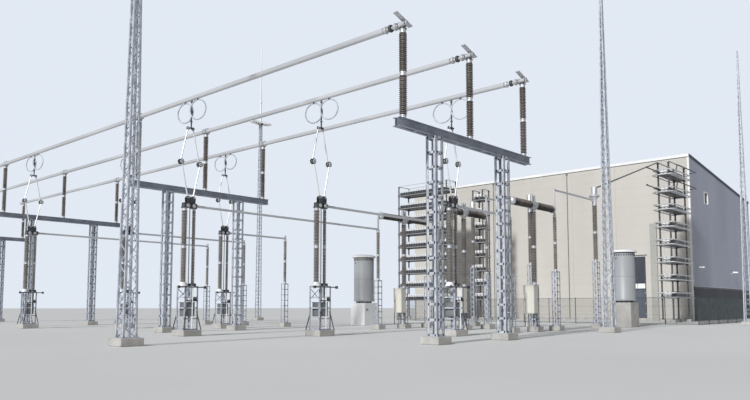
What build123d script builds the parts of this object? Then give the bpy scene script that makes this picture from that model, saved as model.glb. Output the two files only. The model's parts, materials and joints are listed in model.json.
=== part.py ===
from build123d import *
from math import asin, atan2, cos, degrees, radians, sin
import os

os.makedirs("parts", exist_ok=True)

# A 380 kV converter station as a 1:10 scale model. The yard lies in front of the hall:
# three tubular busbars on lattice portals run along Y, pantograph disconnectors hang from
# them, and feeders leave along X towards circuit breakers and capacitor towers.
# The origin is the middle of the underside of the hall's floor, +X points away from the
# yard, +Y runs along the busbars and +Z is up.

# One metre of the real station is this many millimetres of the model.
M = 100.0

# Sides of the prisms that stand for slender round pieces, and of their pins.
ROUND_SIDES = 6
THIN_SIDES = 4
TUBE_SIDES = 8
HOOP_SIDES = 8
TANK_SIDES = 12

# Clearance between pieces that are bolted or clamped to each other
FIT = 0.3

# Ground and footings
FOOTING_TOP = 0.34 * M
LEG_FOOTING = 1.0 * M
POLE_FOOTING = 1.2 * M
POST_FOOTING = 0.8 * M
TOWER_FOOTING = 0.5 * M
MAST_FOOTING = 1.5 * M

# Busbar portals, counted from the near one, whose middle is the yard's reference point
PORTAL_COUNT = 4
PORTAL_PITCH = 21.75 * M
PHASE_SPACING = 5.0 * M
LEG_SPACING = 5.64 * M
LEG_WIDTH = 0.55 * M
LEG_PLATE = 0.025 * M
LEG_FLANGE = 0.13 * M
LEG_OPENINGS = 2
RUNG_HEIGHT = 0.12 * M
BEAM_TOP = 9.55 * M
BEAM_HEIGHT = 0.38 * M
BEAM_WIDTH = 0.5 * M
BEAM_WALL = 0.03 * M
BEAM_END = 0.45 * M

# Busbars and the post insulators under them
BUSBAR_AXIS = 13.68 * M
BUSBAR_DIAMETER = 0.27 * M
BUSBAR_END_GAP = 1.1 * M
BUSBAR_FAR_END = 0.9 * M
BUS_POST_ACROSS = 0.36 * M
FLANGE_PROUD = 0.08 * M
FLANGE_HEIGHT = 0.16 * M
CLAMP_LENGTH = 0.5 * M
CLAMP_ACROSS = 0.44 * M
CONNECTOR_ACROSS = 0.34 * M
CONNECTOR_STEP = 0.28 * M
CONNECTOR_LENGTH = 0.14 * M
CONNECTOR_NECK = 0.16 * M
CONNECTOR_COUNT = 3
END_PLATE_LENGTH = 1.1 * M
END_PLATE_WIDTH = 0.22 * M
END_PLATE_THICKNESS = 0.05 * M
END_PLATE_TILT = 18

# Pantograph disconnectors: two rows of three poles, one pole under each busbar
ROW_COUNT = 2
FIRST_POLE_Y = 4.65 * M
POLE_STEP_Y = 5.62 * M
PEDESTAL_WIDTH = 0.85 * M
PEDESTAL_TOP = 2.8 * M
PEDESTAL_ANGLE = 0.09 * M
PEDESTAL_PLATE = 0.12 * M
DRIVE_BOX = 0.5 * M
DRIVE_BOX_HEIGHT = 0.8 * M
DRIVE_BOX_BOTTOM = 1.1 * M
SUPPORT_ACROSS = 0.38 * M
TURNING_ACROSS = 0.24 * M
COLUMN_SPREAD = 0.62 * M
COLUMN_HEIGHT = 4.45 * M
HEAD_LENGTH = 1.1 * M
HEAD_WIDTH = 0.36 * M
HEAD_HEIGHT = 0.3 * M

# Arms of the pantograph, as they stand when the disconnector is closed
ARM_LENGTH = 2.08 * M
ARM_ACROSS = 0.09 * M
PIVOT_SPREAD = 0.17 * M
KNEE_SPREAD = 0.62 * M
PIVOT_RISE = 0.3 * M
HUB_ACROSS = 0.22 * M
KNUCKLE_ACROSS = 0.32 * M
HUB_WIDTH = 0.11 * M
PIN_ACROSS = 0.08 * M
PIN_CLEARANCE = 0.003 * M
ARM_GAP = 0.03 * M
JAW_GAP = 0.005 * M
JAW_HEIGHT = 0.06 * M
LUG_WIDTH = 0.05 * M

# Fixed contacts that hang from the busbars above the poles
ROD_ACROSS = 0.07 * M
ROD_OVERLAP = 0.02 * M
HOOP_RADIUS = 0.6 * M
HOOP_THICKNESS = 0.07 * M

# Feeders and the equipment on them
FEEDER_ACROSS = 0.16 * M
FEEDER_POST_FOOT = 3.6 * M
FEEDER_POST_ACROSS = 0.3 * M
LINK_Z = 9.85 * M
POST_LATTICE_WIDTH = 0.42 * M
POST_ANGLE = 0.07 * M
POST_PLATE = 0.08 * M
BREAKER_X = 14.25 * M
BREAKER_FOOT = 3.1 * M
BREAKER_COLUMN_ACROSS = 0.44 * M
CHAMBER_AXIS = 8.45 * M
CHAMBER_ACROSS = 0.5 * M
CHAMBER_LENGTH = 2.35 * M
CHAMBER_CAP = 0.28 * M
CHAMBER_CAP_ACROSS = 0.56 * M
BREAKER_BLOCK = 0.6 * M
BREAKER_BLOCK_WIDTH = 0.5 * M
CABINET_WIDTH = 0.75 * M
CABINET_DEPTH = 0.6 * M
CABINET_HEIGHT = 1.85 * M
CABINET_BOTTOM = 1.2 * M
BREAKER_POST_FOOT = 4.1 * M
BREAKER_POST_DROP = 0.1 * M
ARRESTER_X = 23.8 * M
ARRESTER_FOOT = 5.1 * M
ARRESTER_TOP = 9.6 * M
ARRESTER_ACROSS = 0.42 * M
BELL_FOOT_ACROSS = 0.85 * M
BELL_FOOT_HEIGHT = 0.5 * M
BELL_NECK_ACROSS = 0.5 * M
BELL_HEIGHT = 1.3 * M
SLANT_ACROSS = 0.12 * M

# Lightning masts and the lamp mast
MAST_HEIGHT = 25.0 * M
MAST_BASE = 1.0 * M
MAST_TOP = 0.36 * M
MAST_FLANGE = 0.11 * M
MAST_PLATE = 0.025 * M
MAST_PANELS = 2
BRACE_SHARE = 0.6
MAST_LEFT = (-12.5 * M, 8.8 * M)
MAST_RIGHT = (16.2 * M, 0.4 * M)
MAST_FAR = (41.0 * M, -1.6 * M)
LAMP_MAST = (28.3 * M, 51.3 * M)
LAMP_WINGS = 3.0 * M
LAMP_WING_HEIGHT = 0.35 * M
LAMP_WING_EDGE = 0.06 * M
LAMP_WING_WIDTH = 0.8 * M
NEEDLE_HEIGHT = 10.0 * M
NEEDLE_ACROSS = 0.1 * M

# Shrouded reactors on plinths
REACTORS = ((19.2 * M, 24.7 * M), (29.0 * M, 4.65 * M))
PLINTH_WIDTH = 1.7 * M
PLINTH_HEIGHT = 2.0 * M
TANK_FOOT = 0.15 * M
TANK_FOOT_DIAMETER = 1.3 * M
TANK_DIAMETER = 1.8 * M
TANK_HEIGHT = 3.95 * M
TANK_CAP_DIAMETER = 2.15 * M
TANK_CAP_HEIGHT = 0.28 * M
TANK_CAP_LIP = 0.06 * M
TANK_CAP_TAPER = 72

# Capacitor towers in front of the hall: place, size along X, size along Y and tiers
TOWER_X = 50.0 * M
TOWERS = (
    (7.65 * M, 5.0 * M, 1.3 * M, 8),
    (32.2 * M, 1.7 * M, 1.7 * M, 8),
    (41.2 * M, 2.4 * M, 8.6 * M, 9),
)
TIER_BOTTOM = 2.6 * M
TIER_PITCH = 1.86 * M
TIER_FRAME = 0.16 * M
TOWER_POST = 0.2 * M
CAN_HEIGHT = 0.55 * M
CAN_MARGIN = 0.3 * M
CAN_END_GAP = 0.05 * M
TOWER_HEADROOM = 1.5 * M

# Hall
HALL_FRONT_X = 60.0 * M
HALL_NEAR_Y = 8.9 * M
HALL_DEPTH = 26.0 * M
HALL_LENGTH = 42.5 * M
HALL_FRONT_HEIGHT = 20.2 * M
HALL_BACK_HEIGHT = 17.2 * M
WALL = 0.25 * M
FLOOR = 0.3 * M
ROOF = 0.4 * M
COPING_HEIGHT = 0.35 * M
COPING_PROUD = 0.12 * M
DOOR_WIDTH = 2.1 * M
DOOR_HEIGHT = 3.6 * M
DOOR_FROM_CORNER = 5.7 * M
DOOR_GAP = 0.05 * M
DOOR_THICKNESS = 0.1 * M
BARREL_ACROSS = 0.08 * M
BARREL_HEIGHT = 0.25 * M
LOUVRE_TOP = 7.9 * M
WINDOW_WIDTH = 1.6 * M
WINDOW_HEIGHT = 1.6 * M
WINDOW_X = 66.1 * M
WINDOW_SILL = 14.6 * M
GLASS = 0.06 * M
BAND_HEIGHT = 4.1 * M
BAND_PROUD = 0.08 * M
PIPE_SHARES = (0.375, 0.65)
DUCT_Y = 13.4 * M
DUCT_WIDTH = 0.8 * M
DUCT_DEPTH = 0.3 * M
DUCT_HEIGHT = 12.0 * M
WALL_LAMPS = ((61.4 * M, 6.5 * M), (75.6 * M, 6.4 * M))
LAMP_REACH = 0.9 * M
LAMP_BRACKET = 0.08 * M
LAMP_LENGTH = 0.55 * M
LAMP_WIDTH = 0.3 * M
LAMP_THICKNESS = 0.12 * M

# Fence in front of the hall
FENCE_X = 40.0 * M
FENCE_NEAR_Y = 2.3 * M
FENCE_BAY = 3.0 * M
FENCE_FRONT_BAYS = 12
FENCE_SIDE_BAYS = 5
FENCE_HEIGHT = 2.6 * M
FENCE_POST = 0.07 * M
FENCE_RAIL = 0.07 * M

# The yard's reference point, the middle of the near portal, in the model's frame
YARD_X = -(HALL_FRONT_X + HALL_DEPTH / 2)
YARD_Y = -(HALL_NEAR_Y + HALL_LENGTH / 2)

PHASES = [YARD_X + step * PHASE_SPACING for step in (-1, 0, 1)]
PORTALS = [YARD_Y + count * PORTAL_PITCH for count in range(PORTAL_COUNT)]
POLES = {}
for row in range(ROW_COUNT):
    for step, phase in enumerate(("c", "b", "a")):
        pole_y = YARD_Y + row * PORTAL_PITCH + FIRST_POLE_Y + step * POLE_STEP_Y
        POLES[f"{row + 1}{phase}"] = (PHASES[2 - step], pole_y)

towers = []
for tower_y, size_x, size_y, tiers in TOWERS:
    levels = [TIER_BOTTOM + count * TIER_PITCH for count in range(tiers)]
    towers.append(((YARD_X + TOWER_X, YARD_Y + tower_y), size_x, size_y, levels))

COLUMN_TOP = PEDESTAL_TOP + COLUMN_HEIGHT
PIVOT_Z = COLUMN_TOP + HEAD_HEIGHT + PIVOT_RISE
ARM_LEAN = asin((KNEE_SPREAD - PIVOT_SPREAD) / ARM_LENGTH)
KNEE_Z = PIVOT_Z + ARM_LENGTH * cos(ARM_LEAN)
ARM_TOP_Z = PIVOT_Z + 2 * ARM_LENGTH * cos(ARM_LEAN)
FEEDER_Z = COLUMN_TOP + HEAD_HEIGHT / 2


def regular(across, sides, turn=0, mode=Mode.ADD):
    """Draws a regular polygon of the given width across its flats, with one flat facing the turn."""
    RegularPolygon(across / 2, sides, major_radius=False, rotation=turn + 180 / sides, mode=mode)


def prisms(places, bottom, height, across, sides=ROUND_SIDES, mode=Mode.ADD):
    """Adds an upright prism of few sides at each place."""
    with BuildSketch(Plane.XY.offset(bottom)) as outline:
        with Locations(*places):
            regular(across, sides)
    extrude(outline.sketch, amount=height, mode=mode)


def blocks(places, bottom, height, size_x, size_y, mode=Mode.ADD):
    """Adds an upright block at each place."""
    with BuildSketch(Plane.XY.offset(bottom)) as outline:
        with Locations(*places):
            Rectangle(size_x, size_y)
    extrude(outline.sketch, amount=height, mode=mode)


def prisms_along_x(places, start_x, length, across, sides=ROUND_SIDES, mode=Mode.ADD):
    """Adds a lying prism along X at each (y, z) place."""
    with BuildSketch(Plane.YZ.offset(start_x)) as outline:
        with Locations(*places):
            regular(across, sides, 90)
    extrude(outline.sketch, amount=length, mode=mode)


def prisms_along_y(places, start_y, length, across, sides=ROUND_SIDES, mode=Mode.ADD):
    """Adds a lying prism along Y at each (x, z) place."""
    with BuildSketch(Plane.XZ.offset(-(start_y + length))) as outline:
        with Locations(*places):
            regular(across, sides, 90)
    extrude(outline.sketch, amount=length, mode=mode)


def bar(start, end, across, sides=THIN_SIDES):
    """Adds one straight bar of few sides between two points."""
    start = Vector(*start)
    run = Vector(*end) - start
    with BuildSketch(Plane(origin=start, z_dir=run)) as outline:
        regular(across, sides)
    extrude(outline.sketch, amount=run.length)


def insulator(bottom, top, across):
    """Makes one post insulator on the Z axis, with a metal flange where its two halves meet."""
    with BuildPart() as column:
        prisms([(0, 0)], bottom, top - bottom, across)
        middle = (bottom + top - FLANGE_HEIGHT) / 2
        prisms([(0, 0)], middle, FLANGE_HEIGHT, across + FLANGE_PROUD)
    return column.part


def lattice_side(plane, base, top, height, flange, plate, panels, zigzag):
    """Adds one flat side of a lattice: two edge flanges with rungs or a zigzag between them."""
    edge = flange / 2
    rise = height / panels
    with BuildSketch(plane) as outline:
        for side in (-1, 1):
            with BuildLine():
                Polyline(
                    (side * base / 2, 0),
                    (side * (base / 2 - flange), 0),
                    (side * (top / 2 - flange), height),
                    (side * top / 2, height),
                    close=True,
                )
            make_face()
        for count in range(panels + 1):
            half = (base + (top - base) * count / panels) / 2 - edge
            next_half = (base + (top - base) * (count + 1) / panels) / 2 - edge
            side = 1 if count % 2 else -1
            level = min(max(count * rise, edge), height - edge)
            if not zigzag or count in (0, panels):
                with BuildLine():
                    Line((-half, level), (half, level))
                trace(line_width=flange)
            if zigzag and count < panels:
                with BuildLine():
                    Line((side * half, count * rise + edge), (-side * next_half, (count + 1) * rise - edge))
                trace(line_width=flange * BRACE_SHARE)
    extrude(outline.sketch, amount=-plate)


def lattice_tower(bottom, height, base, top, flange, plate, panels, zigzag):
    """Adds a square lattice of four sides whose edge flanges meet as corner angles."""
    lean = atan2((base - top) / 2, height)
    lift = plate * sin(lean)
    for turn in range(4):
        angle = radians(90 * turn)
        outward = Vector(cos(angle), sin(angle), 0)
        along = Vector(-sin(angle), cos(angle), 0)
        face_normal = outward * cos(lean) + Vector(0, 0, sin(lean))
        origin = Vector(0, 0, bottom + lift) + outward * (base / 2)
        side = Plane(origin=origin, x_dir=along, z_dir=face_normal)
        lattice_side(side, base, top, (height - lift) / cos(lean), flange, plate, panels, zigzag)


def save(builder, name):
    """Labels a finished piece and writes it."""
    builder.part.label = name
    export_step(builder.part, f"parts/{name}.step")


# Portal legs stand in pairs under each beam
LEG_XS = (YARD_X - LEG_SPACING / 2, YARD_X + LEG_SPACING / 2)
BEAM_BOTTOM = BEAM_TOP - BEAM_HEIGHT
BEAM_LENGTH = 2 * (PHASE_SPACING + BEAM_END)
LEG_HEIGHT = BEAM_BOTTOM - FOOTING_TOP

LEG_PLACES = [(leg_x, portal_y) for leg_x in LEG_XS for portal_y in PORTALS]
with BuildPart() as portal_leg:
    sizes = (LEG_WIDTH, LEG_WIDTH, LEG_FLANGE, LEG_PLATE)
    lattice_tower(FOOTING_TOP, LEG_HEIGHT, *sizes, LEG_OPENINGS, False)
with BuildPart() as portal_legs:
    with Locations(*LEG_PLACES):
        add(portal_leg.part)
save(portal_legs, "portal_legs")

# Each beam is a pair of channels with plates between, a box with open ends
with BuildPart() as portal_beams:
    with BuildSketch(Plane.YZ.offset(YARD_X - BEAM_LENGTH / 2)):
        with Locations(*[(portal_y, BEAM_TOP - BEAM_HEIGHT / 2) for portal_y in PORTALS]):
            Rectangle(BEAM_WIDTH, BEAM_HEIGHT)
            Rectangle(BEAM_WIDTH - 2 * BEAM_WALL, BEAM_HEIGHT - 2 * BEAM_WALL, mode=Mode.SUBTRACT)
    extrude(amount=BEAM_LENGTH)
save(portal_beams, "portal_beams")

BUS_POSTS = [(phase_x, portal_y) for phase_x in PHASES for portal_y in PORTALS]
BUS_POST_TOP = BUSBAR_AXIS - CLAMP_ACROSS / 2
with BuildPart() as busbar_posts:
    with Locations(*BUS_POSTS):
        add(insulator(BEAM_TOP, BUS_POST_TOP, BUS_POST_ACROSS))
save(busbar_posts, "busbar_posts")

# The tubes stop short of the near posts, where flexible connectors take up their growth
BUSBAR_START = PORTALS[0] + BUSBAR_END_GAP
BUSBAR_LENGTH = PORTALS[-1] + BUSBAR_FAR_END - BUSBAR_START
BUSBAR_AXES = [(phase_x, BUSBAR_AXIS) for phase_x in PHASES]
with BuildPart() as busbars:
    prisms_along_y(BUSBAR_AXES, BUSBAR_START, BUSBAR_LENGTH, BUSBAR_DIAMETER, TUBE_SIDES)
save(busbars, "busbars")

# Clamps hold the tubes on the posts, each bored a little wider than the tube
with BuildPart() as busbar_fittings:
    for portal_y in PORTALS[1:]:
        start_y = portal_y - CLAMP_LENGTH / 2
        prisms_along_y(BUSBAR_AXES, start_y, CLAMP_LENGTH, CLAMP_ACROSS)
        bore = BUSBAR_DIAMETER + 2 * FIT
        prisms_along_y(BUSBAR_AXES, start_y, CLAMP_LENGTH, bore, TUBE_SIDES, Mode.SUBTRACT)

    # A cap on each near post carries the string of connectors and a slanted end plate
    CAP_START = PORTALS[0] - CLAMP_LENGTH / 2
    prisms_along_y(BUSBAR_AXES, CAP_START, CLAMP_LENGTH, CLAMP_ACROSS)
    prisms_along_y(BUSBAR_AXES, PORTALS[0], BUSBAR_END_GAP, CONNECTOR_NECK)
    for step in range(CONNECTOR_COUNT):
        ball_y = BUSBAR_START - (CONNECTOR_COUNT - step - 0.5) * CONNECTOR_STEP
        ball_y = ball_y - CONNECTOR_LENGTH / 2
        prisms_along_y(BUSBAR_AXES, ball_y, CONNECTOR_LENGTH, CONNECTOR_ACROSS)
    for phase_x in PHASES:
        plate_z = BUSBAR_AXIS + CLAMP_ACROSS / 2
        half = END_PLATE_LENGTH / 2
        drop = half * sin(radians(END_PLATE_TILT))
        with BuildSketch(Plane.XZ.offset(-(PORTALS[0] + END_PLATE_WIDTH / 2))):
            with BuildLine():
                Line((phase_x - half, plate_z + drop), (phase_x + half, plate_z - drop))
            trace(line_width=END_PLATE_THICKNESS)
        extrude(amount=END_PLATE_WIDTH)
save(busbar_fittings, "busbar_fittings")

# Fixed contacts: a rod under each busbar, with a hoop on either side that steadies it
BUSBAR_BOTTOM = BUSBAR_AXIS - BUSBAR_DIAMETER / 2
ROD_BOTTOM = ARM_TOP_Z - ROD_OVERLAP
HOOP_Z = BUSBAR_BOTTOM - HOOP_RADIUS
with BuildPart() as fixed_contacts:
    prisms(POLES.values(), ROD_BOTTOM, BUSBAR_BOTTOM - ROD_BOTTOM, ROD_ACROSS, THIN_SIDES)
    for pole_x, pole_y in POLES.values():
        for side in (-1, 1):
            hoop_y = pole_y + side * HOOP_RADIUS
            with BuildSketch(Plane.YZ.offset(pole_x - HOOP_THICKNESS / 2)):
                with Locations((hoop_y, HOOP_Z)):
                    regular(2 * HOOP_RADIUS, HOOP_SIDES, 90)
                    regular(2 * (HOOP_RADIUS - HOOP_THICKNESS), HOOP_SIDES, 90, Mode.SUBTRACT)
            extrude(amount=HOOP_THICKNESS)
save(fixed_contacts, "fixed_contacts")

POLE_PLACES = list(POLES.values())


def pedestal(top, width, angle, plate, ring_top=None):
    """Makes a pedestal of four corner posts under a top plate, tied by a square ring where asked."""
    offset = (width - angle) / 2
    corners = [(side_x * offset, side_y * offset) for side_x in (-1, 1) for side_y in (-1, 1)]
    with BuildPart() as stand:
        blocks(corners, FOOTING_TOP, top - plate - FOOTING_TOP, angle, angle)
        blocks([(0, 0)], top - plate, plate, width, width)
        if ring_top:
            with BuildSketch(Plane.XY.offset(ring_top)):
                Rectangle(width, width)
                Rectangle(width - 2 * angle, width - 2 * angle, mode=Mode.SUBTRACT)
            extrude(amount=-angle)
    return stand.part


SUPPORTS = [(pole_x - COLUMN_SPREAD / 2, pole_y) for pole_x, pole_y in POLE_PLACES]
TURNINGS = [(pole_x + COLUMN_SPREAD / 2, pole_y) for pole_x, pole_y in POLE_PLACES]
with BuildPart() as disconnector_columns:
    with Locations(*SUPPORTS):
        add(insulator(PEDESTAL_TOP, COLUMN_TOP, SUPPORT_ACROSS))
    prisms(TURNINGS, PEDESTAL_TOP, COLUMN_HEIGHT, TURNING_ACROSS)
save(disconnector_columns, "disconnector_columns")

# Heads: a gearbox on both columns, with a pair of lugs and the pins that carry the arms
LOWER_SIDE = -(ARM_GAP / 2 + HUB_WIDTH)
UPPER_SIDE = ARM_GAP / 2
HEAD_TOP = COLUMN_TOP + HEAD_HEIGHT
LUG_LENGTH = 2 * PIVOT_SPREAD + HUB_ACROSS
LUG_TOP = PIVOT_Z + HUB_ACROSS / 2
with BuildPart() as disconnector_heads:
    blocks(POLE_PLACES, COLUMN_TOP, HEAD_HEIGHT, HEAD_LENGTH, HEAD_WIDTH)
    near_lug = LOWER_SIDE - ARM_GAP - LUG_WIDTH
    far_lug = LOWER_SIDE + HUB_WIDTH + ARM_GAP
    for lug in (near_lug, far_lug):
        lug_places = [(pole_x, pole_y + lug + LUG_WIDTH / 2) for pole_x, pole_y in POLE_PLACES]
        blocks(lug_places, HEAD_TOP, LUG_TOP - HEAD_TOP, LUG_LENGTH, LUG_WIDTH)
    for pole_x, pole_y in POLE_PLACES:
        pins = [(pole_x - PIVOT_SPREAD, PIVOT_Z), (pole_x + PIVOT_SPREAD, PIVOT_Z)]
        pin_length = far_lug + LUG_WIDTH - near_lug
        prisms_along_y(pins, pole_y + near_lug, pin_length, PIN_ACROSS)
save(disconnector_heads, "disconnector_heads")

# Arms: each pole has a left and a right pair, hinged at the head and at the knee
PIN_BORE = PIN_ACROSS / cos(radians(180 / ROUND_SIDES)) + 2 * PIN_CLEARANCE
JAW_START = ROD_ACROSS / 2 + JAW_GAP
for name, (pole_x, pole_y) in POLES.items():
    for side, side_name in ((-1, "left"), (1, "right")):
        pivot = (pole_x + side * PIVOT_SPREAD, PIVOT_Z)
        knee = (pole_x + side * KNEE_SPREAD, KNEE_Z)
        top = (pole_x + side * PIVOT_SPREAD, ARM_TOP_Z)
        lower_y = pole_y + LOWER_SIDE
        upper_y = pole_y + UPPER_SIDE
        with BuildPart() as lower_arm:
            prisms_along_y([pivot], lower_y, HUB_WIDTH, HUB_ACROSS)
            prisms_along_y([knee], lower_y, HUB_WIDTH, KNUCKLE_ACROSS)
            middle_y = lower_y + HUB_WIDTH / 2
            bar((pivot[0], middle_y, pivot[1]), (knee[0], middle_y, knee[1]), ARM_ACROSS)
            prisms_along_y([knee], lower_y, upper_y + HUB_WIDTH - lower_y, PIN_ACROSS)
            prisms_along_y([pivot], lower_y, HUB_WIDTH, PIN_BORE, mode=Mode.SUBTRACT)
        save(lower_arm, f"pole_{name}_lower_{side_name}")
        with BuildPart() as upper_arm:
            prisms_along_y([knee], upper_y, HUB_WIDTH, KNUCKLE_ACROSS)
            prisms_along_y([top], upper_y, HUB_WIDTH, HUB_ACROSS)
            middle_y = upper_y + HUB_WIDTH / 2
            bar((knee[0], middle_y, knee[1]), (top[0], middle_y, top[1]), ARM_ACROSS)
            prisms_along_y([knee], upper_y, HUB_WIDTH, PIN_BORE, mode=Mode.SUBTRACT)
            jaw_x = pole_x + side * (JAW_START + PIVOT_SPREAD) / 2
            jaw_y = (pole_y - ROD_ACROSS + upper_y + HUB_WIDTH) / 2
            jaw_width = upper_y + HUB_WIDTH - pole_y + ROD_ACROSS
            jaw_length = PIVOT_SPREAD - JAW_START
            blocks([(jaw_x, jaw_y)], ARM_TOP_Z - JAW_HEIGHT / 2, JAW_HEIGHT, jaw_length, jaw_width)
        save(upper_arm, f"pole_{name}_upper_{side_name}")

# Feeders: a tube from each head to a post, and in the first bay a riser to the breaker
CHAMBER_START = BREAKER_X - BREAKER_BLOCK / 2 - CHAMBER_LENGTH - CHAMBER_CAP
CHAMBER_END = BREAKER_X + BREAKER_BLOCK / 2 + CHAMBER_LENGTH + CHAMBER_CAP
NEAR_RISER_X = YARD_X + CHAMBER_START - FEEDER_ACROSS / 2
FAR_RISER_X = YARD_X + CHAMBER_END + FEEDER_ACROSS / 2
ARRESTER_NEAR = YARD_X + ARRESTER_X - BELL_FOOT_ACROSS / 2
FIRST_ROW = [(pole_x, pole_y) for pole_x, pole_y in POLE_PLACES if pole_y < PORTALS[1]]
with BuildPart() as feeders:
    for pole_x, pole_y in POLE_PLACES:
        start_x = pole_x + HEAD_LENGTH / 2
        end_x = NEAR_RISER_X - FEEDER_ACROSS / 2 - FIT
        prisms_along_x([(pole_y, FEEDER_Z)], start_x, end_x - start_x, FEEDER_ACROSS)
    near_risers = [(NEAR_RISER_X, pole_y) for pole_x, pole_y in FIRST_ROW]
    far_risers = [(FAR_RISER_X, pole_y) for pole_x, pole_y in FIRST_ROW]
    riser_foot = FEEDER_Z - FEEDER_ACROSS / 2
    chamber_foot = CHAMBER_AXIS - CHAMBER_CAP_ACROSS / 2 - BREAKER_POST_DROP
    far_ends = [(NEAR_RISER_X, pole_y) for pole_x, pole_y in POLE_PLACES if pole_y > PORTALS[1]]
    prisms(far_ends, riser_foot, 2 * FEEDER_ACROSS, FEEDER_ACROSS)
    prisms(near_risers, riser_foot, CHAMBER_AXIS + FEEDER_ACROSS - riser_foot, FEEDER_ACROSS)
    prisms(far_risers, chamber_foot, LINK_Z + FEEDER_ACROSS / 2 - chamber_foot, FEEDER_ACROSS)
    links = [(pole_y, LINK_Z) for pole_x, pole_y in FIRST_ROW]
    link_start = FAR_RISER_X + FEEDER_ACROSS / 2 + FIT
    prisms_along_x(links, link_start, ARRESTER_NEAR - link_start, FEEDER_ACROSS)

    # A long tube slants up from the nearest bell to a top corner of the nearest capacitor tower
    tower_place, tower_size, tower_length, tower_levels = towers[0]
    corner_y = tower_place[1] + (tower_length - TOWER_POST) / 2
    slant_end = Vector(tower_place[0] - tower_size / 2 - SLANT_ACROSS / 8, corner_y, 0)
    bell = Vector(YARD_X + ARRESTER_X, FIRST_ROW[0][1], 0)
    heading = (slant_end - bell).normalized()
    slant_start = bell + heading * (BELL_NECK_ACROSS / 2 + SLANT_ACROSS / 8)
    slant_run = (slant_end - slant_start).length
    low_z = ARRESTER_TOP + BELL_HEIGHT - SLANT_ACROSS
    high_z = tower_levels[-1] + TOWER_HEADROOM - TIER_FRAME
    side_on = Vector(heading.Y, -heading.X, 0)
    with BuildSketch(Plane(origin=slant_start, x_dir=heading, z_dir=side_on)):
        with BuildLine():
            Polyline(
                (0, low_z),
                (slant_run, high_z),
                (slant_run, high_z + SLANT_ACROSS),
                (0, low_z + SLANT_ACROSS),
                close=True,
            )
        make_face()
    extrude(amount=SLANT_ACROSS / 2, both=True)
save(feeders, "feeders")

FEEDER_POSTS = [(NEAR_RISER_X, pole_y) for pole_x, pole_y in POLE_PLACES]
BREAKER_POSTS = [(FAR_RISER_X, pole_y) for pole_x, pole_y in FIRST_ROW]
BREAKERS = [(YARD_X + BREAKER_X, pole_y) for pole_x, pole_y in FIRST_ROW]
ARRESTERS = [(YARD_X + ARRESTER_X, pole_y) for pole_x, pole_y in FIRST_ROW]
with BuildPart() as equipment_pedestals:
    with Locations(*POLE_PLACES):
        add(pedestal(PEDESTAL_TOP, PEDESTAL_WIDTH, PEDESTAL_ANGLE, PEDESTAL_PLATE, DRIVE_BOX_BOTTOM))
    for places, top in (
        (FEEDER_POSTS, FEEDER_POST_FOOT),
        (BREAKER_POSTS, BREAKER_POST_FOOT),
        (BREAKERS, BREAKER_FOOT),
        (ARRESTERS, ARRESTER_FOOT),
    ):
        with Locations(*places):
            add(pedestal(top, POST_LATTICE_WIDTH, POST_ANGLE, POST_PLATE))
save(equipment_pedestals, "equipment_pedestals")

with BuildPart() as equipment_posts:
    prisms(FEEDER_POSTS, FEEDER_POST_FOOT, riser_foot - FEEDER_POST_FOOT, FEEDER_POST_ACROSS)
    prisms(BREAKER_POSTS, BREAKER_POST_FOOT, chamber_foot - BREAKER_POST_FOOT, FEEDER_POST_ACROSS)
    with Locations(*ARRESTERS):
        add(insulator(ARRESTER_FOOT, ARRESTER_TOP, ARRESTER_ACROSS))
save(equipment_posts, "equipment_posts")

# Circuit breakers: an upright column carries two lying chambers, one to each side
BREAKER_AXES = [(pole_y, CHAMBER_AXIS) for pole_x, pole_y in FIRST_ROW]
LEFT_CHAMBER_X = YARD_X + CHAMBER_START + CHAMBER_CAP
RIGHT_CHAMBER_X = YARD_X + BREAKER_X + BREAKER_BLOCK / 2
with BuildPart() as breaker_insulators:
    with Locations(*BREAKERS):
        add(insulator(BREAKER_FOOT, CHAMBER_AXIS - BREAKER_BLOCK / 2, BREAKER_COLUMN_ACROSS))
    for start_x in (LEFT_CHAMBER_X, RIGHT_CHAMBER_X):
        prisms_along_x(BREAKER_AXES, start_x, CHAMBER_LENGTH, CHAMBER_ACROSS)
save(breaker_insulators, "breaker_insulators")

# Metal at the top of the breakers and arresters, whose columns end in a bell
with BuildPart() as terminal_fittings:
    blocks(BREAKERS, CHAMBER_AXIS - BREAKER_BLOCK / 2, BREAKER_BLOCK, BREAKER_BLOCK, BREAKER_BLOCK_WIDTH)
    for start_x in (YARD_X + CHAMBER_START, YARD_X + CHAMBER_END - CHAMBER_CAP):
        prisms_along_x(BREAKER_AXES, start_x, CHAMBER_CAP, CHAMBER_CAP_ACROSS)
    prisms(ARRESTERS, ARRESTER_TOP, BELL_FOOT_HEIGHT, BELL_FOOT_ACROSS)
    prisms(ARRESTERS, ARRESTER_TOP + BELL_FOOT_HEIGHT, BELL_HEIGHT - BELL_FOOT_HEIGHT, BELL_NECK_ACROSS)
save(terminal_fittings, "terminal_fittings")

# Drive boxes stand on the lower ring of each disconnector's pedestal, and each breaker's
# cabinet hangs on the side of its pedestal
with BuildPart() as cabinets:
    blocks(POLE_PLACES, DRIVE_BOX_BOTTOM, DRIVE_BOX_HEIGHT, DRIVE_BOX, PEDESTAL_WIDTH - PEDESTAL_ANGLE)
    cabinet_x = YARD_X + BREAKER_X - POST_LATTICE_WIDTH / 2 - CABINET_DEPTH / 2
    cabinet_places = [(cabinet_x, pole_y) for pole_x, pole_y in FIRST_ROW]
    blocks(cabinet_places, CABINET_BOTTOM, CABINET_HEIGHT, CABINET_DEPTH, CABINET_WIDTH)
save(cabinets, "cabinets")

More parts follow.
